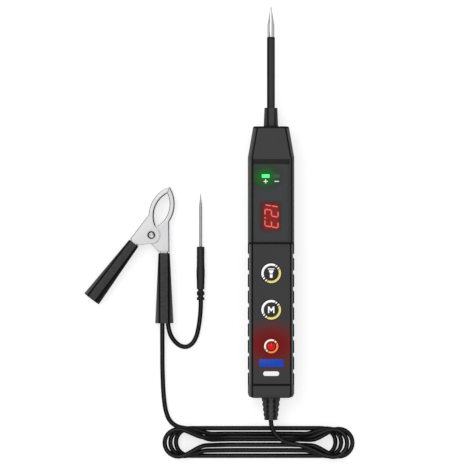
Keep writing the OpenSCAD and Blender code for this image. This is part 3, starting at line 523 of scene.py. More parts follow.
# Painted shade: two dark bands along the collar, darker sides at its front end and a darker back end.
collar_painted_shade = within(cx, -2.7, -1.3, 0.3) * 0.8 + within(cx, 2.3, 3.1, 0.25)
collar_painted_shade = collar_painted_shade + cy.rise(67.4, 68) * abs(cx).rise(2.6, 2.9)
collar_painted_shade = (collar_painted_shade + cy.rise(57.6, 56.6) * 0.5).rise(0, 1)
collar.color(collar_painted_shade * 0.85, collar.tone, 0.003)
dress(collar, "nose_collar")
print("collar dressed")

# %% [markdown]
# The panel and its red glow
#
# The panel is a thin satin overlay that carries the keys, with painted shade along its edges and in
# the gap round each ring. Light from the power key spills into it. A lamp inside would be noisy, so the
# glow is a smooth fall from the key's centre, wider across than along, which tints the overlay and
# feeds the emission.

# %% Dress the panel
KEY_YS = (-39.15, -62.75, -86.35)
RING_IN = (4.75, 4.75, 3.35)
RING_OUT = (6.4, 6.4, 4.65)
panel = Finish("satin_panel", specular=0.08, light=1)
px, py, _ = panel.place()
glow = near(px * 0.75, py, 0, KEY_YS[2] + 1).rise(19.5, 4)
# Painted shade along the panel's edges and in the gap round each ring.
panel_end = py.rise(-110.6, -110.8) + within(px, -13, -11.8, 0.25) + px.rise(12.1, 12.4)
plain = panel.mix(panel.grain(11, detail=4), (0.045, 0.045, 0.046), (0.051, 0.051, 0.052))
ring_gap_shade = 0
for key_y, ring_edge in zip(KEY_YS, RING_OUT):
    ring_gap_shade = ring_gap_shade + band(near(px, py, 0, key_y), ring_edge + 0.15, 0.2, 0.2)
painted_shade_lines = (panel_end + ring_gap_shade * 0.8).rise(0, 1)
panel.color(painted_shade_lines, panel.mix(glow, plain, (0.03, 0.002, 0.002)), PAINTED_GAP_SHADE)
panel.feed("Roughness", 0.42 + panel.grain(4) * 0.1)
panel.glow(glow * (1 - painted_shade_lines), 0, (0.14, 0.004, 0.004))
panel.bump(panel.grain(0.4, detail=2), 0.006)
dress(panel, "control_panel")
print("panel dressed")

# %% [markdown]
# The smoked window
#
# The window is a dark tinted sheet. Clear plastic over lit parts would render grainy, so the light
# that spreads in it follows from the place: a green halo round the lit mark and a dark red one behind
# the figures. The rest is a calm grey, a little bluer over the display's block. The lit shapes
# themselves are thin pieces on the sheet, so that their outlines stay sharp.

# %% Dress the window
WINDOW_TOP_Z = 23.0
LED_X, LED_Y = 3.6, 23.8
window = Finish("smoked_window", roughness=0.3, specular=0.12, light=1)
wx, wy, _ = window.place()
green = near(wx * 0.8, wy, -LED_X * 0.8, LED_Y - 0.5).rise(11.5, 3)
red = wx.rise(-9.4, -4.6) * wx.rise(8, 4.2) * wy.rise(-14, -9.8) * wy.rise(9.4, 5)
core = wx.rise(-6.4, -3.2) * wx.rise(6.2, 3.2) * wy.rise(-12.4, -8.4) * wy.rise(7, 3.4)
cool = within(wx, -6.4, 6.3, 0.5) * within(wy, -13, 16.8, 0.8)
sheet = window.mix(window.grain(9), (0.046, 0.048, 0.049), (0.052, 0.054, 0.055))
sheet = window.mix(cool * 0.5, sheet, (0.045, 0.057, 0.065))
sheet = window.mix(green * 0.85, sheet, (0.006, 0.034, 0.008))
window.color(red * 0.9, sheet, (0.020, 0.004, 0.003))
glow_green = window.mix(green * green * green, 0, (0, 0.075, 0.004))
window.glow(red, glow_green, window.mix(core, (0.045, 0.004, 0.003), (0.23, 0.005, 0.004)))
window.bump(window.grain(12, detail=1), 0.01)
dress(window, "display_window")
print("window dressed")

# %% [markdown]
# The display's block, the board and the lights under the window
#
# These parts are seen when the shells are taken off, and the screws and torch lights from outside.
# The display is a dark block, the board has a green mask, and each light is a small diffusing block,
# one lit green and the other off. They are plain parts, so the plain worn finish is enough.

# %% Dress what lies under the window
lit = Finish("lit_green_block", roughness=0.4, light=1)
lx, ly, _ = lit.place()
lit.color(lit.grain(1.5), (0.02, 0.4, 0.1), (0.03, 0.5, 0.14))
lit.glow(near(lx, ly * 1.6, -LED_X, LED_Y * 1.6).rise(3.6, 0.4), (0.03, 0.75, 0.12), (0.09, 1, 0.22))
dress(lit, "positive_led")
unlit = wear("unlit_green_block", (0.06, 0.085, 0.06), 1, 0.4, 0.005, specular=0.2)
dress(unlit, "negative_led")
dress(wear("display_block", (0.018, 0.012, 0.014), 1.5, 0.5, 0.01), "digit_display")
dress(wear("board_mask", (0.012, 0.055, 0.022), 0.8, 0.35, 0.01), "circuit_board")
dress(wear("switch_can", (0.45, 0.45, 0.46), 0.8, 0.35, 0.004, metallic=1), "key_switches")
dress(wear("sounder_black", 0.016, 0.8, 0.5, 0.01), "buzzer")
dress(wear("torch_lens", (0.78, 0.8, 0.82), 2, 0.12, 0.004), "torch_leds")
dress(wear("brass_strip", (0.6, 0.42, 0.16), 1.2, 0.3, 0.004, metallic=1), "needle_terminal")
dress(wear("plated_screw", (0.42, 0.42, 0.43), 0.6, 0.35, 0.006, metallic=1), "cover_screws")
print("inside dressed")

# %% [markdown]
# Turned forms
#
# The needle, its sleeve, the keys, the rings, the rivet and the small probe are all round. Stacked
# cylinders would do, but one profile that is spun about its axis also gives the rounded edges. Only
# soft angles are shaded smooth, so edges that are meant to be crisp stay so.

# %% Spin a profile
def along_y(place, sign=1):
    """Lays a form that is spun about Z along +Y, or along -Y, and moves it into place."""
    return Matrix.Translation(place) @ Matrix.Rotation(radians(-90 * sign), 4, "X")


def spin(profile, sides, closed=False):
    """Spins (radius, height) points, in mm. A closed profile makes a ring with a hole."""
    bm = bmesh.new()
    rows = []
    for r, h in profile:
        turns = all_round(sides) if r > 1e-6 else [0]
        rows.append([bm.verts.new((r * cos(a), r * sin(a), h)) for a in turns])
    pairs = list(zip(rows, rows[1:]))
    if closed:
        pairs.append((rows[-1], rows[0]))
    for low, high in pairs:
        for n in range(sides):
            m = (n + 1) % sides
            corners = dict.fromkeys((low[n % len(low)], low[m % len(low)],
                                     high[m % len(high)], high[n % len(high)]))
            if len(corners) > 2:
                bm.faces.new(list(corners))
    return bm


def arc(cx, cy, r, start, end, count):
    """Points on a quarter or so of a circle, for rounded edges in a profile."""
    turns = [radians(blend_to(start, end, k / count)) for k in range(count + 1)]
    return [(cx + r * cos(a), cy + r * sin(a)) for a in turns]


# %% [markdown]
# The needle and its sleeve
#
# The needle is polished steel with a long slim point, and a black shrunk sleeve covers it up to its
# last centimetres. Its grinding runs round it, so the grain is squeezed along the axis, because even
# noise would look cast. The sleeve is thicker outside the nose's collar and has a rounded lip. Its
# flanks and lip get painted shade, darker than its upper side.

# %% Make the needle and its sleeve
AXIS_Z = 12.0
SLEEVE_END = 58.3
in_the_nose = along_y((0, NOSE_Y, AXIS_Z))
needle_profile = [
    (0, -12.6), (1.85, -12.6), (1.85, SLEEVE_END), *arc(2.1, SLEEVE_END + 0.15, 0.15, 270, 360, 4),
    (2.25, SLEEVE_END + 8.5), *arc(1.95, SLEEVE_END + 8.6, 0.3, 0, 65, 5),
    (1.9, SLEEVE_END + 10), (1.1, SLEEVE_END + 15), (0.42, SLEEVE_END + 19.2),
    (0.28, SLEEVE_END + 20.0), *arc(0, SLEEVE_END + 20.15, 0.25, 25, 90, 4),
]
make_piece("needle", spin(needle_profile, 56), "tester", ["probe_needle"], 25,
           in_the_nose)
sleeve_profile = [
    (1.88, -4), (2.53, -4), (2.53, 12.6), (2.59, 13.4), (2.59, SLEEVE_END - 0.4),
    *arc(2.26, SLEEVE_END - 0.33, 0.33, 0, 90, 5), (1.88, SLEEVE_END),
]
make_piece("needle_sleeve", spin(sleeve_profile, 56, True), "tester",
           ["probe_sleeve"], place=in_the_nose)
print("needle's point at y =", round(NOSE_Y + SLEEVE_END + 20.4, 1), "mm")

# %% Dress the needle and its sleeve
steel = Finish("ground_steel", metallic=1)
grinding = steel.grain(1, detail=2, stretch=(0.2, 4, 0.2))
steel.color(steel.grain(6), (0.66, 0.66, 0.67), (0.78, 0.78, 0.79))
steel.feed("Roughness", 0.10 + grinding * 0.08)
steel.bump(grinding, 0.003)
dress(steel, "needle")
sleeve = wear("shrunk_sleeve", (0.040, 0.040, 0.041), 2.5, 0.4, 0.02, specular=0.12)
sx, sy, _ = sleeve.place()
# Painted shade on the sleeve's flanks and lip.
lip = sy.rise(NOSE_Y + SLEEVE_END - 1.1, NOSE_Y + SLEEVE_END - 0.7)
sleeve.color((abs(sx - 0.3).rise(0.9, 2.1) * 0.8 + lip).rise(0, 1), sleeve.tone, 0.004)
dress(sleeve, "needle_sleeve")
print("needle and sleeve dressed")

# %% [markdown]
# Keys and lit rings
#
# Each key is a shallow dome that stands a little over the panel, inside a light guide that is lit
# from below. The profiles repeat the CAD's, with rounder edges. A key rides on its own body, so it
# sinks when it is pressed, and its ring stays on the housing.

# %% Make the keys and the rings
PANEL_Z = 23.6
KEY_TOP = PANEL_Z + 0.7
RING_TOP = PANEL_Z + 0.3
KEY_R = (4.55, 4.55, 3.15)
KEYS = ("torch", "mode", "power")


def cap_height(r, key_r):
    """Height of a key's domed top at a distance from its middle."""
    return KEY_TOP - 0.35 * min(1.0, r / key_r) ** 2


def key_profile(key_r):
    edge = key_r - 0.3
    low = cap_height(edge, key_r) - 0.3
    dome = [(edge * t, cap_height(edge * t, key_r)) for t in (0.9, 0.75, 0.6, 0.45, 0.3, 0.15)]
    return [
        (0, 17.75), (1.5, 17.75), (1.5, 18.45), (key_r + 1.5, 18.45), (key_r + 1.5, 19.35),
        (key_r, 19.35), *arc(edge, low, 0.3, 0, 80, 5), *dome, (0, KEY_TOP),
    ]


def ring_profile(inner, outer):
    round_r = 0.35
    middle = RING_TOP - round_r
    return [
        (inner, 19.45), (outer + 1, 19.45), (outer + 1, 20.35), (outer, 20.35),
        *arc(outer - round_r, middle, round_r, 0, 90, 5),
        *arc(inner + round_r, middle, round_r, 90, 180, 5),
    ]


for k, name in enumerate(KEYS):
    place = Matrix.Translation((0, KEY_YS[k], 0))
    make_piece(name + "_cap", spin(key_profile(KEY_R[k]), 72), name + "_key",
               [name + "_key"], place=place)
    make_piece(name + "_light_ring", spin(ring_profile(RING_IN[k], RING_OUT[k]), 72, True),
               "tester", [name + "_ring"], place=place)
print("keys and rings made")

# %% [markdown]
# The rings' light
#
# The upper left half of a ring shines white and the lower right half yellow, and where they meet two
# short white ticks stand apart between dark gaps. Cut pieces would be many and tiny, so the colours
# follow from the place: the distance from the slanting line through the key's middle chooses tick,
# gap or light, and its sign the colour. The power key's ring goes from warm white to orange, and the
# key itself glows red, most in its middle.

# %% Dress the rings
DIAGONAL = 0.7071


def ring_finish(k, dark, light):
    """What both kinds of ring share, with the distance from the middle and from the slanting line."""
    finish = Finish(KEYS[k] + "_ring_light", roughness=0.35, specular=0.2, light=1)
    x, y, _ = finish.place()
    finish.color(finish.grain(2), dark, light)
    finish.bump(finish.grain(1.5, detail=1), 0.004)
    dress(finish, KEYS[k] + "_light_ring")
    return finish, near(x, y, 0, KEY_YS[k]), (y - KEY_YS[k] - x) * DIAGONAL


for k in (0, 1):
    ring, r, across = ring_finish(k, 0.008, 0.012)
    body = r.rise(RING_IN[k] - 0.05, RING_IN[k] + 0.2) * r.rise(RING_OUT[k] - 0.02, RING_OUT[k] - 0.15)
    shine = body * (band(abs(across), 0.92, 0.36, 0.1) + abs(across).rise(1.85, 2))
    outward = r.rise(RING_IN[k], RING_OUT[k] - 0.5)
    white_light = ring.mix(outward, (0.75, 0.75, 0.72), (1.1, 1.1, 1.08))
    gold_light = ring.mix(outward, (0.64, 0.53, 0.12), (0.86, 0.74, 0.26))
    ring.glow(shine, 0, ring.mix(across.rise(-1.6, -1.7), white_light, gold_light))

ring, r, across = ring_finish(2, (0.05, 0.006, 0.004), (0.07, 0.008, 0.006))
body = r.rise(RING_OUT[2] + 0.02, RING_OUT[2] - 0.15) * r.rise(RING_IN[2] - 0.05, RING_IN[2] + 0.15)
gap = band(abs(across), 1, 0.26, 0.12) * 0.95
warm_light = ring.mix(across.rise(1.6, -2.4), (0.92, 0.86, 0.80), (0.90, 0.24, 0.06))
ring.glow(body * (1 - gap), (0.15, 0.005, 0.004), warm_light)
print("rings dressed")

# %% Dress the keys
dress(wear("key_cap_black", 0.026, 0.7, 0.4, 0.006, specular=0.16), "torch_cap", "mode_cap")
key_red = Finish("key_cap_red", roughness=0.35, specular=0.08, light=1)
kx, ky, _ = key_red.place()
middle = near(kx, ky, 0, KEY_YS[2]).rise(2.7, 0.9)
key_red.color(key_red.grain(1.5), (0.05, 0.002, 0.002), (0.07, 0.003, 0.003))
key_red.glow(middle, (0.10, 0.001, 0.001), (0.50, 0.005, 0.006))
key_red.bump(key_red.grain(0.8, detail=1), 0.004)
dress(key_red, "power_cap")
print("keys dressed")

# %% [markdown]
# Printed marks
#
# Each mark on the keys and the window is a flat outline, cut into small faces, laid on its surface
# and given the thickness of a print, a few hundredths of a millimetre. On a domed key its points
# follow the dome, so the print lies on the cap wherever one looks from. A tone in the cap's finish
# would do too, but a print stays sharp at its outline.

# %% Lay a print on a surface
PRINT_UP, PRINT_DOWN = 0.03, 0.02


def print_shape(bm, outline, height_at, step):
    """Adds one flat outline, in mm, as a thin layer that follows height_at(x, y)."""
    flat = bmesh.new()
    flat.faces.new([flat.verts.new((x, y, 0)) for x, y in outline])
    for axis in (0, 1):
        low = min(p[axis] for p in outline)
        high = max(p[axis] for p in outline)
        cuts = int((high - low) / step)
        for k in range(1, cuts + 1):
            where, normal = Vector(), Vector()
            where[axis] = low + (high - low) * k / (cuts + 1)
            normal[axis] = 1
            bmesh.ops.bisect_plane(flat, geom=flat.verts[:] + flat.edges[:] + flat.faces[:],
                                   plane_co=where, plane_no=normal)
    top, low = {}, {}
    for v in flat.verts:
        z = height_at(v.co.x, v.co.y)
        top[v] = bm.verts.new((v.co.x, v.co.y, z + PRINT_UP))
        low[v] = bm.verts.new((v.co.x, v.co.y, z - PRINT_DOWN))
    for face in flat.faces:
        bm.faces.new([top[v] for v in face.verts])
        bm.faces.new([low[v] for v in reversed(face.verts)])
    for rim in flat.edges:
        if len(rim.link_faces) == 1:
            a, b = rim.verts
            bm.faces.new((top[a], top[b], low[b], low[a]))
    flat.free()


# %% Prints on the keys and the window
def make_print(name, outlines, height_at, body, step=0.5):
    bm = bmesh.new()
    for outline in outlines:
        print_shape(bm, outline, height_at, step)
    make_piece(name, bm, body)


def box_outline(x0, y0, x1, y1):
    return [(x0, y0), (x1, y0), (x1, y1), (x0, y1)]


def print_on_key(k, shapes):
    """A print on a key's dome. Its shapes are given from the key's middle."""
    def on_cap(x, y):
        return cap_height(hypot(x, y - KEY_YS[k]), KEY_R[k])

    outlines = [[(x, y + KEY_YS[k]) for x, y in shape] for shape in shapes]
    make_print(KEYS[k] + "_mark", outlines, on_cap, KEYS[k] + "_key")


def on_window(x, y):
    return WINDOW_TOP_Z


# %% Print the torch, the mode letter, the power sign and the polarity marks
print_on_key(0, (
    box_outline(-2.1, 2.55, 2.1, 3.15), [(-0.8, -0.1), (0.8, -0.1), (1.6, 1.95), (-1.6, 1.95)],
    box_outline(-0.85, -2.9, 0.85, -0.6),
))
print_on_key(1, (
    box_outline(-2.05, -2.15, -1.25, 2.15), box_outline(1.25, -2.15, 2.05, 2.15),
    [(-1.25, 2.15), (-1.25, 0.55), (0, -1.2), (0, 0.3)],
    [(1.25, 2.15), (0, 0.3), (0, -1.2), (1.25, 0.55)],
))
inner_ring = arc(0, 0, 1.75, 128, 412, 10)
outer_ring = arc(0, 0, 2.3, 128, 412, 10)
power_sign = [[inner_ring[k], outer_ring[k], outer_ring[k + 1], inner_ring[k + 1]] for k in range(10)]
print_on_key(2, power_sign + [box_outline(-0.5, -0.4, 0.5, 2.2)])
make_print("polarity_marks", (
    box_outline(-4.95, 20.05, -2.2, 20.55), box_outline(-3.85, 18.95, -3.35, 20.05),
    box_outline(-3.85, 20.55, -3.35, 21.65), box_outline(2.25, 20.05, 5, 20.55),
), on_window, "tester")
make_print("green_light", [box_outline(-6.1, 22.6, -1, 24.9)], on_window, "tester")
make_print("unlit_light", [box_outline(1.3, 22.7, 5.6, 24.8)], on_window, "tester")
print("prints laid")

# %% Dress the prints
dress(lit, "green_light")
dress(unlit, "unlit_light")
# The white prints glow a little, a painted glow that lifts them to white; they hold no lamp.
white_print_painted_glow = wear("white_print_painted_glow", 0.86, 0.8, 0.4, 0.003, light=0.25)
white_print_painted_glow.feed("Emission Color", 1)
dress(white_print_painted_glow, "torch_mark", "mode_mark", "polarity_marks")
red_print = wear("red_print", (0.30, 0.01, 0.01), 0.8, 0.4, 0.003, specular=0.08, light=1)
red_print.glow(red_print.grain(2), (0.55, 0.016, 0.018), (0.68, 0.024, 0.026))
dress(red_print, "power_mark")
print("prints dressed")

# %% [markdown]
# The red figures
#
# The display shows a voltage in three slanting seven-bar figures that run down the pen, with their
# tops towards +X. A text object would bring a font's shapes, so each bar is a flat hexagon a little
# under a millimetre wide, laid on the window as a thin lit print.

# %% One bar and the six that are needed
BAR = 0.82
FIGURE_W, FIGURE_H = 4.6, 9.3
SLANT = 0.16
DOT = (-3.9, -3.3, 0.55)


def bar_outline(x0, y0, x1, y1):
    """A long hexagon from one corner of a figure to the next, in the figure's own upright frame."""
    a, b = Vector((x0, y0)), Vector((x1, y1))
    ahead = (b - a).normalized()
    across = Vector((-ahead.y, ahead.x)) * BAR / 2
    a, b = a + ahead * 0.12, b - ahead * 0.12
    tip = ahead * BAR / 2
    return [a, a + tip + across, b - tip + across, b, b - tip - across, a + tip - across]


bottom, centre, top = BAR / 2, FIGURE_H / 2, FIGURE_H - BAR / 2
left, right = BAR / 2, FIGURE_W - BAR / 2
BARS = {
    "a": (left, top, right, top), "b": (right, centre, right, top),
    "c": (right, bottom, right, centre), "d": (left, bottom, right, bottom),
    "e": (left, bottom, left, centre), "g": (left, centre, right, centre),
}
print("bars of a figure:", *BARS)

# %% Make the lit bars
FIGURES = [("bc", 9.4), ("abged", 2.8), ("abgcd", -4.2)]


def to_window(u, v, start_y):
    """From a figure's own frame to the window: its foot line runs down the pen from start_y."""
    return v - FIGURE_H / 2 + 0.2, start_y - u - SLANT * v


lit_bars = [[to_window(*p, start_y) for p in bar_outline(*BARS[letter])]
            for bars, start_y in FIGURES for letter in bars]
lit_bars.append([(DOT[0] + DOT[2] * cos(a), DOT[1] + DOT[2] * sin(a)) for a in all_round(16)])
make_print("lit_figures", lit_bars, on_window, "tester", step=9)
red_light = Finish("red_figure_light", roughness=0.5, light=1)
red_light.glow(red_light.grain(2.5), (0.74, 0.10, 0.08), (0.84, 0.14, 0.11))
red_light.color(red_light.grain(2.5), (0.10, 0.01, 0.01), (0.13, 0.015, 0.012))
dress(red_light, "lit_figures")
print("figures lit")

# %% [markdown]
# Two bare plates on the panel
#
# Under the power key lie two thin bare plates with round corners, a blue one and a pale one. Each is
# a flat outline with a small bevel all round, raised a quarter of a millimetre, so that its rim
# catches the light, as tones on the panel wouldn't.

# %% Make the plates
PLATE_LOW = PANEL_Z - 0.05
PLATE_HIGH = PANEL_Z + 0.25
PLATE_BEVEL = 0.12


def round_plate(width, height, corner, x0, y0):
    """A plate with round corners and a bevelled upper edge, in mm."""
    bm = bmesh.new()
    rows = []
    for inset, z in ((0, PLATE_LOW), (0, PLATE_HIGH - PLATE_BEVEL),
                     (PLATE_BEVEL * 0.3, PLATE_HIGH - PLATE_BEVEL * 0.3), (PLATE_BEVEL, PLATE_HIGH)):
        outline = []
        for sx, sy, start in ((1, 1, 0), (-1, 1, 90), (-1, -1, 180), (1, -1, 270)):
            outline += arc(x0 + sx * (width / 2 - corner), y0 + sy * (height / 2 - corner),
                           corner - inset, start, start + 90, 8)
        rows.append([(x, y, z) for x, y in outline])
    skin(bm, rows)
    return bm


make_piece("blue_plate", round_plate(15.9, 5.2, 1, 0.1, -97.25), "tester")
make_piece("pale_plate", round_plate(10.3, 2.95, 1.4, 0, -104.05), "tester")
dress(wear("blue_enamel", (0.005, 0.055, 0.46), 1.2, 0.35, 0.006, 0.06, specular=0.2), "blue_plate")
# The pale plate glows a little, a painted glow that lifts it to white; it holds no lamp.
pale = wear("pale_enamel_painted_glow", (0.86, 0.85, 0.85), 1.2, 0.4, 0.006, 0.03, specular=0.2, light=0.12)
pale.feed("Emission Color", (1, 0.98, 0.98))
dress(pale, "pale_plate")
print("plates made")

# %% [markdown]
# The rubber grips
#
# A grip is a strip of pads along each side of the housing, with a notch between two pads. Notches cut
# out of a block would have hard edges. So the skin joins rounded outlines across the strip, one for
# every station along it, and the stations stand close together at the walls of a notch.

# %% A grip's measures
GRIP_IN, GRIP_FLOOR, GRIP_OUT = 13.05, 14.3, 15.03
GRIP_LOW, GRIP_HIGH = 5.0, 19.0
WAIST_HALF = 14.07
GROOVE = (-20.75, -110.75)
GRIP_ENDS = (-19.9, -111.6)
FIRST_NOTCH, NOTCH_PITCH, NOTCHES, NOTCH_HALF = -28.0, 10.72, 8, 1.3
NOTCH_WALL = [(0.6, GRIP_OUT), (0.25, GRIP_OUT - 0.04), (0.05, GRIP_OUT - 0.16),
              (0.0, GRIP_FLOOR + 0.1), (-0.08, GRIP_FLOOR)]
print("grips run from y =", GRIP_ENDS[0], "to", GRIP_ENDS[1], "mm")


# %% Stations along a grip
def grip_end(end, inwards):
    """Stations at one end, from the end itself to the housing's groove."""
    return [(GRIP_ENDS[end], WAIST_HALF, GRIP_OUT - 0.1),
            (GRIP_ENDS[end] + inwards * 0.25, WAIST_HALF, GRIP_OUT),
            (GROOVE[end] - inwards * 0.01, WAIST_HALF, GRIP_OUT), (GROOVE[end], GRIP_IN, GRIP_OUT)]


def grip_stations():
    """(y, how far in, how far out) along a grip, from the window's end to the relief's."""
    rows = grip_end(0, -1)
    for k in range(NOTCHES):
        middle = FIRST_NOTCH - NOTCH_PITCH * k
        for side in (1, -1):
            rows += [(middle + side * (NOTCH_HALF + past), GRIP_IN, out)
                     for past, out in NOTCH_WALL[::side]]
    return rows + grip_end(1, 1)[::-1]


# %% Make the rubber grips
def rubber_grip(name, side, replaced):
    """A strip of pads: one rounded outline across it for every station, joined into a skin."""
    bm = bmesh.new()
    rows = []
    for y, deep, out in grip_stations():
        round_r = min(0.45, (out - WAIST_HALF) * 0.8)
        outline = [(deep, GRIP_LOW), *arc(out - round_r, GRIP_LOW + round_r, round_r, -90, 0, 4),
                   *arc(out - round_r, GRIP_HIGH - round_r, round_r, 0, 90, 4), (deep, GRIP_HIGH)]
        rows.append([(side * x, y, z) for x, z in outline])
    skin(bm, rows)
    make_piece(name, bm, "tester", [replaced], 28)


rubber_grip("left_pads", -1, "left_grip")
rubber_grip("right_pads", 1, "right_grip")
print("grips made with", NOTCHES, "notches each")

# %% [markdown]
# Rubber: grips, relief and leads
#
# The grips and the relief are soft black rubber with a dull, uneven surface. The pads' outer faces
# are paler, and the strip is paler still on top next to the housing. The relief has a painted
# highlight along its middle and its sides, with painted shade in the flutes between. The leads have a
# smooth sheath with a dark grey painted highlight along its upper side, and painted shade on its
# flanks. A mask from the place or from the way that the surface faces does all of it.

# %% Dress the rubber
rubber = wear("grip_rubber", 0.004, 0.8, 0.6, 0.03, specular=0.09)
gx, _, gz = rubber.place()
# The pads are paler on top next to the housing and on their outer faces.
pale_top_band = abs(gx).rise(14.35, 14.15) * gz.rise(18.4, 18.8)
pale_outer_faces = abs(gx).rise(14.6, 14.95) * gz.rise(18.7, 18.3) * gz.rise(5, 7)
rubber.color(pale_top_band, rubber.mix(pale_outer_faces, rubber.tone, (0.036, 0.036, 0.037)), 0.15)
dress(rubber, "left_pads", "right_pads")
relief = wear("relief_rubber", (0.026, 0.026, 0.027), 0.9, 0.5, 0.02, specular=0.15)
from_middle = abs(relief.place()[0])
# Painted highlight along the relief's middle and sides, painted shade in the flutes between.
relief_painted_highlight = from_middle.rise(1.8, 1.1) + from_middle.rise(2.7, 3.3) * 0.8
relief.color(relief_painted_highlight, 0.014, (0.062, 0.062, 0.063))
dress(relief, "strain_relief")
sheath = wear("lead_sheath", (0.027, 0.027, 0.0275), 3.5, 0.28, 0.03, 0.3, specular=0.1)
# Painted highlight: the upward-facing strip keeps the sheath's grey, and the flanks get painted shade,
# nearly black.
sheath.color(sheath.facing()[2].rise(0.88, 0.99), 0.0008, sheath.tone)
dress(sheath, "long_lead", "short_lead")
print("rubber dressed")

# %% [markdown]
# The clamp's outline
#
# Each half is stamped from sheet steel and folded: two equal cheeks and one wall along the outer
# edge. In plan a cheek runs from the jaw's tip round the leaf-shaped opening to a round ear at the
# rivet, then down to the handle's shoulder. The outline is put together from arcs and corners that
# are given from the jaws' middle line, so one description serves both halves, mirrored.

# %% Measures of the clamp, in its own frame
RIVET = (-78, -14.4, 5.2)
CLAMP_TURN = radians(-18.5)
CLAMP_FRAME = Matrix.Translation(RIVET) @ Matrix.Rotation(CLAMP_TURN, 4, "Z")
HANDLE_ANGLE = 18.7
HANDLE_U, HANDLE_V = 10.4, -8.6
JAW_AXIS = 1.2
LEAF_MID = 17.6
JAW_R, JAW_HALF, JAW_LOW = 20.516, 7.8, 12.0
LEAF_R, LEAF_HALF, LEAF_LOW = 16.926, 4.6, 6.1
EDGE = 0.1
EAR_R = 5.8
CROTCH = (0.1, -5.2)
SHOULDER_HALF, SHOULDER_Y0 = 3.5, 0.6
TANG_HALF, TANG_Y0 = 2.5, -30
print("leaf-shaped opening:", 2 * LEAF_HALF, "mm wide")


# %% The outline of a half
def side_arc(half, r, end_v, count=26):
    """Points on a jaw's arc, from the jaws' middle line down to a height."""
    middle = half - r
    top = asin(sqrt(1 - ((EDGE - middle) / r) ** 2))
    low = asin((end_v - LEAF_MID) / r)
    return arc(middle, LEAF_MID, r, degrees(top), degrees(low), count)


def on_handle(x, y):
    """A point of the handle's own frame, seen from the jaws' middle line."""
    c, s = cos(radians(HANDLE_ANGLE)), sin(radians(HANDLE_ANGLE))
    return HANDLE_U + c * x - s * y, HANDLE_V + s * x + c * y


def ear_points(side):
    """The far arc of the ear round the rivet, from the jaws' gap to the plate's lower edge."""
    centre = -JAW_AXIS * side
    start = degrees(atan2(sqrt(EAR_R ** 2 - (EDGE - centre) ** 2), EDGE - centre))
    inner = on_handle(-SHOULDER_HALF, SHOULDER_Y0)
    slope = (inner[1] - CROTCH[1]) / (inner[0] - CROTCH[0])
    return [p for p in arc(centre, 0, EAR_R, start, 330, 40)
            if p[0] < CROTCH[0] or p[1] < CROTCH[1] + slope * (p[0] - CROTCH[0])]


def half_outline(side):
    """A cheek's outline and the part of it that the wall follows, for the right (1) or left (-1)."""
    leaf = side_arc(LEAF_HALF, LEAF_R, LEAF_LOW)
    jaw = side_arc(JAW_HALF, JAW_R, JAW_LOW)
    corners = [on_handle(x, y) for x, y in (
        (-SHOULDER_HALF, SHOULDER_Y0), (-TANG_HALF, SHOULDER_Y0), (-TANG_HALF, TANG_Y0),
        (TANG_HALF, TANG_Y0), (TANG_HALF, SHOULDER_Y0), (SHOULDER_HALF, SHOULDER_Y0))]
    whole = leaf + ear_points(side) + corners + jaw[::-1]
    outer = jaw + [corners[-1]]
    return [[(JAW_AXIS + side * u, v) for u, v in points] for points in (whole, outer)]


# %% [markdown]
# The clamp's halves
#
# A cheek is the outline, one millimetre thick, with its outer rim rolled over, as a stamping die
# leaves it. Where the jaws meet it stays sharp. The wall follows the outer edge from tip to handle,
# and the fixed half is narrower and lies inside the other one. A full mirror would show mostly white
# room here, so the plating is pale and half metallic. The rolled edges that face right get painted
# shade, nearly black, and those that face left a lighter painted shade, except round the rivet.

# %% A cheek and a wall
SHEET = 1.0


def cheek(bm, outline, outer_z, inward):
    """One flat cheek whose outer face is at outer_z and whose thickness goes inward."""
    flat = bmesh.new()
    base = flat.faces.new([flat.verts.new((x, y, 0)) for x, y in outline])
    raised = bmesh.ops.extrude_face_region(flat, geom=[base])["geom"]
    upper = [v for v in raised if isinstance(v, bmesh.types.BMVert)]
    bmesh.ops.translate(flat, verts=upper, vec=(0, 0, SHEET))
    bmesh.ops.recalc_face_normals(flat, faces=flat.faces)
    rim = [e for e in flat.edges if all(v.co.z > SHEET * 0.9 for v in e.verts)
           and any(abs(v.co.x - JAW_AXIS) > EDGE + 0.05 for v in e.verts)]
    bmesh.ops.bevel(flat, geom=rim, offset=0.8, segments=4, profile=0.5, affect="EDGES")
    copies = {v: bm.verts.new((v.co.x, v.co.y, outer_z - inward * (SHEET - v.co.z)))
              for v in flat.verts}
    for face in flat.faces:
        bm.faces.new([copies[v] for v in face.verts])
    flat.free()


def wall_strip(bm, outer, side, low, high):
    """A wall along the outer edge, a little thinner than the sheet, between two heights."""
    rows = []
    for k, point in enumerate(outer):
        here = Vector(point)
        ahead = (Vector(outer[min(k + 1, len(outer) - 1)]) - Vector(outer[max(k - 1, 0)])).normalized()
        inward = Vector((ahead.y, -ahead.x)) * side
        skin_out, skin_in = here + inward * 0.04, here + inward * 0.95
        rows.append([(p.x, p.y, z) for p, z in
                     ((skin_out, low), (skin_out, high), (skin_in, high), (skin_in, low))])
    skin(bm, rows)


# %% Make the halves
def clamp_half(name, side, height, body, replaced):
    bm = bmesh.new()
    outline, outer = half_outline(side)
    cheek(bm, outline, height / 2, 1)
    cheek(bm, outline, -height / 2, -1)
    wall_strip(bm, outer, side, -(height - SHEET) / 2, (height - SHEET) / 2)
    make_piece(name, bm, body, [replaced], 40, CLAMP_FRAME)


clamp_half("fixed_half", 1, 5.7, "tester", "clamp_fixed_half")
clamp_half("lever_half", -1, 8.0, "clamp_lever", "clamp_lever")
print("clamp halves made")

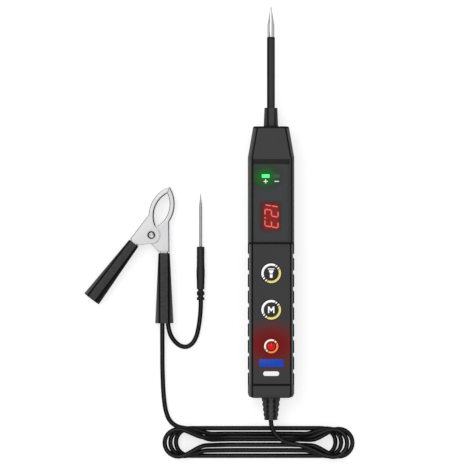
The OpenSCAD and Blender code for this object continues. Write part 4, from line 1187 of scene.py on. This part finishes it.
# %% Dress the halves
plated = Finish("plated_sheet", metallic=0.3, specular=0.3)
clouds = plated.grain(9, detail=4)
fine = plated.grain(0.7, detail=2)
qx, qy, _ = plated.place()
off_ear = near(qx, qy, RIVET[0], RIVET[1]).rise(6.3, 6.8)
to_right, _, upwards = plated.facing()
rolled = off_ear * abs(upwards).rise(0.05, 0.2)
plated_tone = plated.mix(clouds, (0.69, 0.69, 0.70), (0.75, 0.75, 0.76))
# Painted shade: right-facing rolled edges nearly black, left-facing ones dark grey.
plated_tone = plated.mix(to_right.rise(0.12, 0.35) * rolled, plated_tone, 0.01)
plated.color(to_right.rise(-0.3, -0.65) * rolled * 0.85, plated_tone, 0.10)
plated.feed("Roughness", 0.44 + fine * 0.1)
plated.bump(clouds * 0.8 + fine * 0.2, 0.02)
dress(plated, "fixed_half", "lever_half")
print("clamp halves dressed")

# %% [markdown]
# The rivet
#
# The rivet is turned and shinier than the sheet. It is hollow and has a rolled head on each side, so
# it is spun like the needle. The rim of each rolled head gets painted shade, nearly black.

# %% Make the rivet
rivet_profile = [
    (0.9, -4.8), (1.6, -5.1), (2.1, -5.0), (2.5, -4.6), (2.3, -4.1), (1.6, -4.1),
    (1.6, 4.1), (2.3, 4.1), *arc(2.0, 4.6, 0.5, -20, 100, 7), (1.6, 5.05), (1.2, 4.9), (0.9, 4.6),
]
make_piece("rivet", spin(rivet_profile, 56, True), "tester", ["clamp_rivet"], 40,
           Matrix.Translation(RIVET))
bright = wear("bright_rivet", (0.78, 0.78, 0.79), 1.5, 0.14, 0.004, metallic=1)
vx, vy, _ = bright.place()
# Painted shade on the rolled rim of each head.
bright.color(near(vx, vy, RIVET[0], RIVET[1]).rise(1.5, 1.7), bright.tone, 0.008)
dress(bright, "rivet")
print("rivet made")

# %% [markdown]
# The clamp's spring
#
# A torsion spring lies round the rivet between the two halves, with three turns and a leg along each
# handle. On the real clamp it winds up when the lever turns. Here the wire is one tube that is baked
# into place and rides on no body, so it doesn't follow the lever.

# %% Wind the spring
WIRE_R, COIL_R, COIL_TOP, COIL_STEPS = 0.45, 2.95, 1.05, 96
LEG_ANGLE = HANDLE_ANGLE + 12


def spring_leg(side):
    """A straight leg, as points from the coil outwards."""
    turn = Matrix.Rotation(radians(side * LEG_ANGLE), 3, "Z")
    return [turn @ Vector((side * COIL_R, -d, side * COIL_TOP)) for d in (0.6, 3, 6, 9, 12)]


sweep = 7 * pi - 2 * radians(LEG_ANGLE)
coil = []
for k in range(COIL_STEPS + 1):
    a = radians(LEG_ANGLE) + sweep * k / COIL_STEPS
    coil.append(Vector((COIL_R * cos(a), COIL_R * sin(a),
                        blend_to(COIL_TOP, -COIL_TOP, k / COIL_STEPS))))
wire_points = spring_leg(1)[::-1] + coil + spring_leg(-1)
wire_line = [CLAMP_FRAME @ p for p in smooth_route(wire_points, 0.6)]
spring = make_piece("spring_wire", tube(wire_line, WIRE_R, 10), None, ["clamp_spring"])
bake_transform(spring)
dress(wear("spring_wire_steel", (0.45, 0.45, 0.46), 0.8, 0.3, 0.006, metallic=1), "spring_wire")
print("spring wound:", len(wire_line), "rings")

# %% [markdown]
# The clamp's handles
#
# Each handle is a vinyl sleeve that widens towards its open mouth. The flat along its middle keeps
# its width, and the sloped facets beside it grow, which a scaled box can't do. So the form is a row
# of eight-cornered outlines, with a small bevel on the long edges and a tapering hollow for the
# leads. Painted shade lines follow the long edges, and the facets get a painted highlight.

# %% Make the handle sleeves
SLEEVE_L = 45.8
SLEEVE_H = 10.4


def handle_frame(side):
    """From a handle's own frame to the model's."""
    start = Matrix.Translation((JAW_AXIS + side * HANDLE_U, HANDLE_V, 0))
    return CLAMP_FRAME @ start @ Matrix.Rotation(radians(side * HANDLE_ANGLE), 4, "Z")


def handle_outline(w, h, y):
    half, flat = w / 2, min(2.7, 0.42 * w)
    low = h / 2 - 0.26 * w
    corners = [(half, -low), (half, low), (flat, h / 2), (-flat, h / 2), (-half, low), (-half, -low),
               (-flat, -h / 2), (flat, -h / 2)]
    return [Vector((x, y, z)) for x, z in corners]


def handle(name, side, body, replaced):
    stations = [
        (6.8, 9.8, 0.0), (7.3, 10.3, -0.3), (7.45, SLEEVE_H, -1.2), (9.6, SLEEVE_H, -SLEEVE_L / 2),
        (11.7, SLEEVE_H, -SLEEVE_L + 1.6), (11.9, SLEEVE_H, -SLEEVE_L + 0.3),
        (11.6, 10.1, -SLEEVE_L), (8.9, 8.1, -SLEEVE_L), (8.5, 7.9, -SLEEVE_L + 0.5),
        (5.4, 6.0, -SLEEVE_L + 14),
    ]
    bm = bmesh.new()
    skin(bm, [handle_outline(*s) for s in stations])
    bmesh.ops.recalc_face_normals(bm, faces=bm.faces)
    long_edges = [e for e in bm.edges if e.calc_face_angle(0) > radians(20)
                  and abs((e.verts[0].co - e.verts[1].co).normalized().y) > 0.5]
    bmesh.ops.bevel(bm, geom=long_edges, offset=0.35, segments=3, profile=0.5, affect="EDGES")
    make_piece(name, bm, body, [replaced], 24, handle_frame(side))


handle("fixed_handle", 1, "tester", "fixed_handle_sleeve")
handle("lever_handle", -1, "clamp_lever", "lever_handle_sleeve")
print("handles made")


# %% Dress the handle sleeves
def dress_handle(name, side, side_painted_shade):
    """The flat is dark grey, its two edges get painted shade lines, nearly black, and the facets a
    painted highlight that grows outwards. One side also gets painted shade, by its share.
    """
    finish = wear(name + "_vinyl", (0.044, 0.044, 0.045), 4, 0.4, 0.02, specular=0.1)
    x, y, _ = finish.place()
    start = handle_frame(side).translation
    turn = CLAMP_TURN + radians(side * HANDLE_ANGLE)
    across = (x - start.x) * cos(turn) + (y - start.y) * sin(turn)
    # Painted shade lines along the long edges; a painted highlight grows across the facets.
    line = band(abs(across), 2.95, 0.42, 0.3)
    speckled = finish.mix(finish.grain(0.7, detail=1), (0.026, 0.026, 0.027), (0.062, 0.062, 0.063))
    tone = finish.mix(abs(across).rise(3.4, 5.4), speckled, 0.12)
    finish.color((line + across.rise(2.5, 2.9) * side_painted_shade).rise(0, 1), tone, 0.003)
    dress(finish, name)


dress_handle("fixed_handle", 1, 0.25)
dress_handle("lever_handle", -1, 0.75)
print("handles dressed")

# %% [markdown]
# The small needle probe
#
# Its handle is a slim moulded stick with a slight swelling, where a finger rests, and grooves near
# the lead. The needle is thin steel with a long taper. Both repeat the CAD's profiles with softer
# edges. The stick's sides, grooves and upper end get painted shade.

# %% Make the small probe
SMALL = (-45.9, -22.1, 2.75)
small_profile = [
    (0, 0), (2.2, 0), *arc(2.25, 0.25, 0.25, -90, 0, 4), (2.5, 4), (2.48, 9), (2.6, 13),
    (2.74, 16), (2.74, 18.5), (2.6, 22), (2.45, 27.4), (2.48, 27.6), (2.4, 27.75), (1.7, 27.85),
    (1.7, 29.15), (2.4, 29.25), (2.5, 29.4), (2.5, 31.6), (2.4, 31.75), (1.7, 31.85),
    (1.7, 33.05), (2.4, 33.15), (2.5, 33.3), *arc(2.2, 34.6, 0.3, 0, 90, 4), (0, 34.9),
]
make_piece("small_handle", spin(small_profile, 48), "tester",
           ["small_probe_handle"], 40, along_y(SMALL, -1))
thin_profile = [
    (0, -2), (0.95, -2), (0.95, 25.8), (0.9, 27), (0.42, 31.5), (0.16, 34.6), (0.06, 35.1), (0, 35.2),
]
make_piece("small_needle", spin(thin_profile, 40), "tester",
           ["small_probe_needle"], 40, along_y(SMALL))
print("small probe made")

# %% Dress the small probe
dress(wear("thin_needle_steel", (0.40, 0.40, 0.41), 1, 0.45, 0.003, metallic=0.5), "small_needle")
stick = wear("probe_stick", (0.030, 0.030, 0.031), 0.9, 0.4, 0.01, specular=0.16)
ux, uy, _ = stick.place()
# Painted shade on the stick's sides, grooves and upper end.
stick_side_shade = abs(ux - SMALL[0]).rise(1.1, 2)
stick_groove_shade = within(uy, SMALL[1] - 35, SMALL[1] - 27.5, 0.3)
stick_painted_shade = (stick_side_shade + stick_groove_shade * 0.6 + uy.rise(SMALL[1] - 1, SMALL[1] - 0.5)).rise(0, 1)
stick.color(stick_painted_shade * 0.85, stick.tone, 0.004)
dress(stick, "small_handle")
print("small probe dressed")

# %% The leads are not declared
print("leads not declared")

# %% [markdown]
# The floor
#
# The picture has a white ground with a soft grey shadow. A white floor would throw too much light up,
# so it is pale grey, and where the camera sees it directly, a light of its own lifts it to white. The
# shadow stays, because it darkens the other share.

# %% Lay the floor
floor_bm = bmesh.new()
bmesh.ops.create_grid(floor_bm, x_segments=8, y_segments=8, size=6.0)
floor_mesh = bpy.data.meshes.new("pale_floor")
floor_bm.to_mesh(floor_mesh)
floor_bm.free()
floor = add_object("pale_floor", floor_mesh)
floor.location.z = -0.0002
ground = Finish("pale_ground", base=0.54, roughness=0.9, specular=0.1, light=1)
ground.glow(ground.node("ShaderNodeLightPath", out="Is Camera Ray").rise(0, 1), 0, 0.64)
floor.data.materials.append(ground.material)
print("floor laid")

# %% [markdown]
# Studio light
#
# A pale room lights everything softly, and one large soft lamp over the upper left gives the gentle
# highlights. Where the room is seen directly it is white. In mirrors it has the cards of a product
# studio, without their shadows: bright overhead, a narrow dark card on the left and a grey wall on
# the right, which draw the bands along round steel.

# %% Light the room
world = bpy.data.worlds.new("pale_room")
bpy.context.scene.world = world
world.use_nodes = True
room = Net(world.node_tree)
sideways = room.parts("Generated")[0]


def ramp(low, high, start, end):
    """Goes straight from start to end while the sideways direction goes from low to high."""
    return room.node("ShaderNodeMapRange", {}, {
        "Value": sideways, "From Min": low, "From Max": high, "To Min": start, "To Max": end})


def ray(kind):
    return room.node("ShaderNodeLightPath", out=kind)


right_wall = ramp(0.30, 0.60, 1.0, 0.60)
left_side = ramp(-0.52, -0.60, 1.0, 0.08) + ramp(-0.86, -0.93, 0.0, 0.85)
mirrored, lighting, white = (room.node("ShaderNodeBackground", {}, {"Color": 1, "Strength": strength})
                             for strength in (right_wall * left_side, 0.72, 1))
mirror_ray = room.node("ShaderNodeMath", {"operation": "MAXIMUM"},
                       {0: ray("Is Glossy Ray"), 1: ray("Is Transmission Ray")})
unseen = room.node("ShaderNodeMixShader", {}, {0: mirror_ray, 1: lighting, 2: mirrored})
whole = room.node("ShaderNodeMixShader", {}, {0: ray("Is Camera Ray"), 1: unseen, 2: white})
room.show("ShaderNodeOutputWorld", whole)
print("room lit")

# %% Hang the lamp
LAMP_PLACE = Vector((-0.55, 0.45, 1.5))
LAMP_TARGET = Vector((0, -0.05, 0))
lamp_data = bpy.data.lights.new("upper_left_lamp", "AREA")
lamp_data.shape = "DISK"
lamp_data.size = 1.0
lamp_data.energy = 6
lamp = add_object("upper_left_lamp", lamp_data)
lamp.location = LAMP_PLACE
lamp.rotation_mode = "QUATERNION"
lamp.rotation_quaternion = (LAMP_TARGET - LAMP_PLACE).to_track_quat("-Z", "Y")
bpy.context.scene.view_settings.view_transform = "Standard"
print("lamp hung")
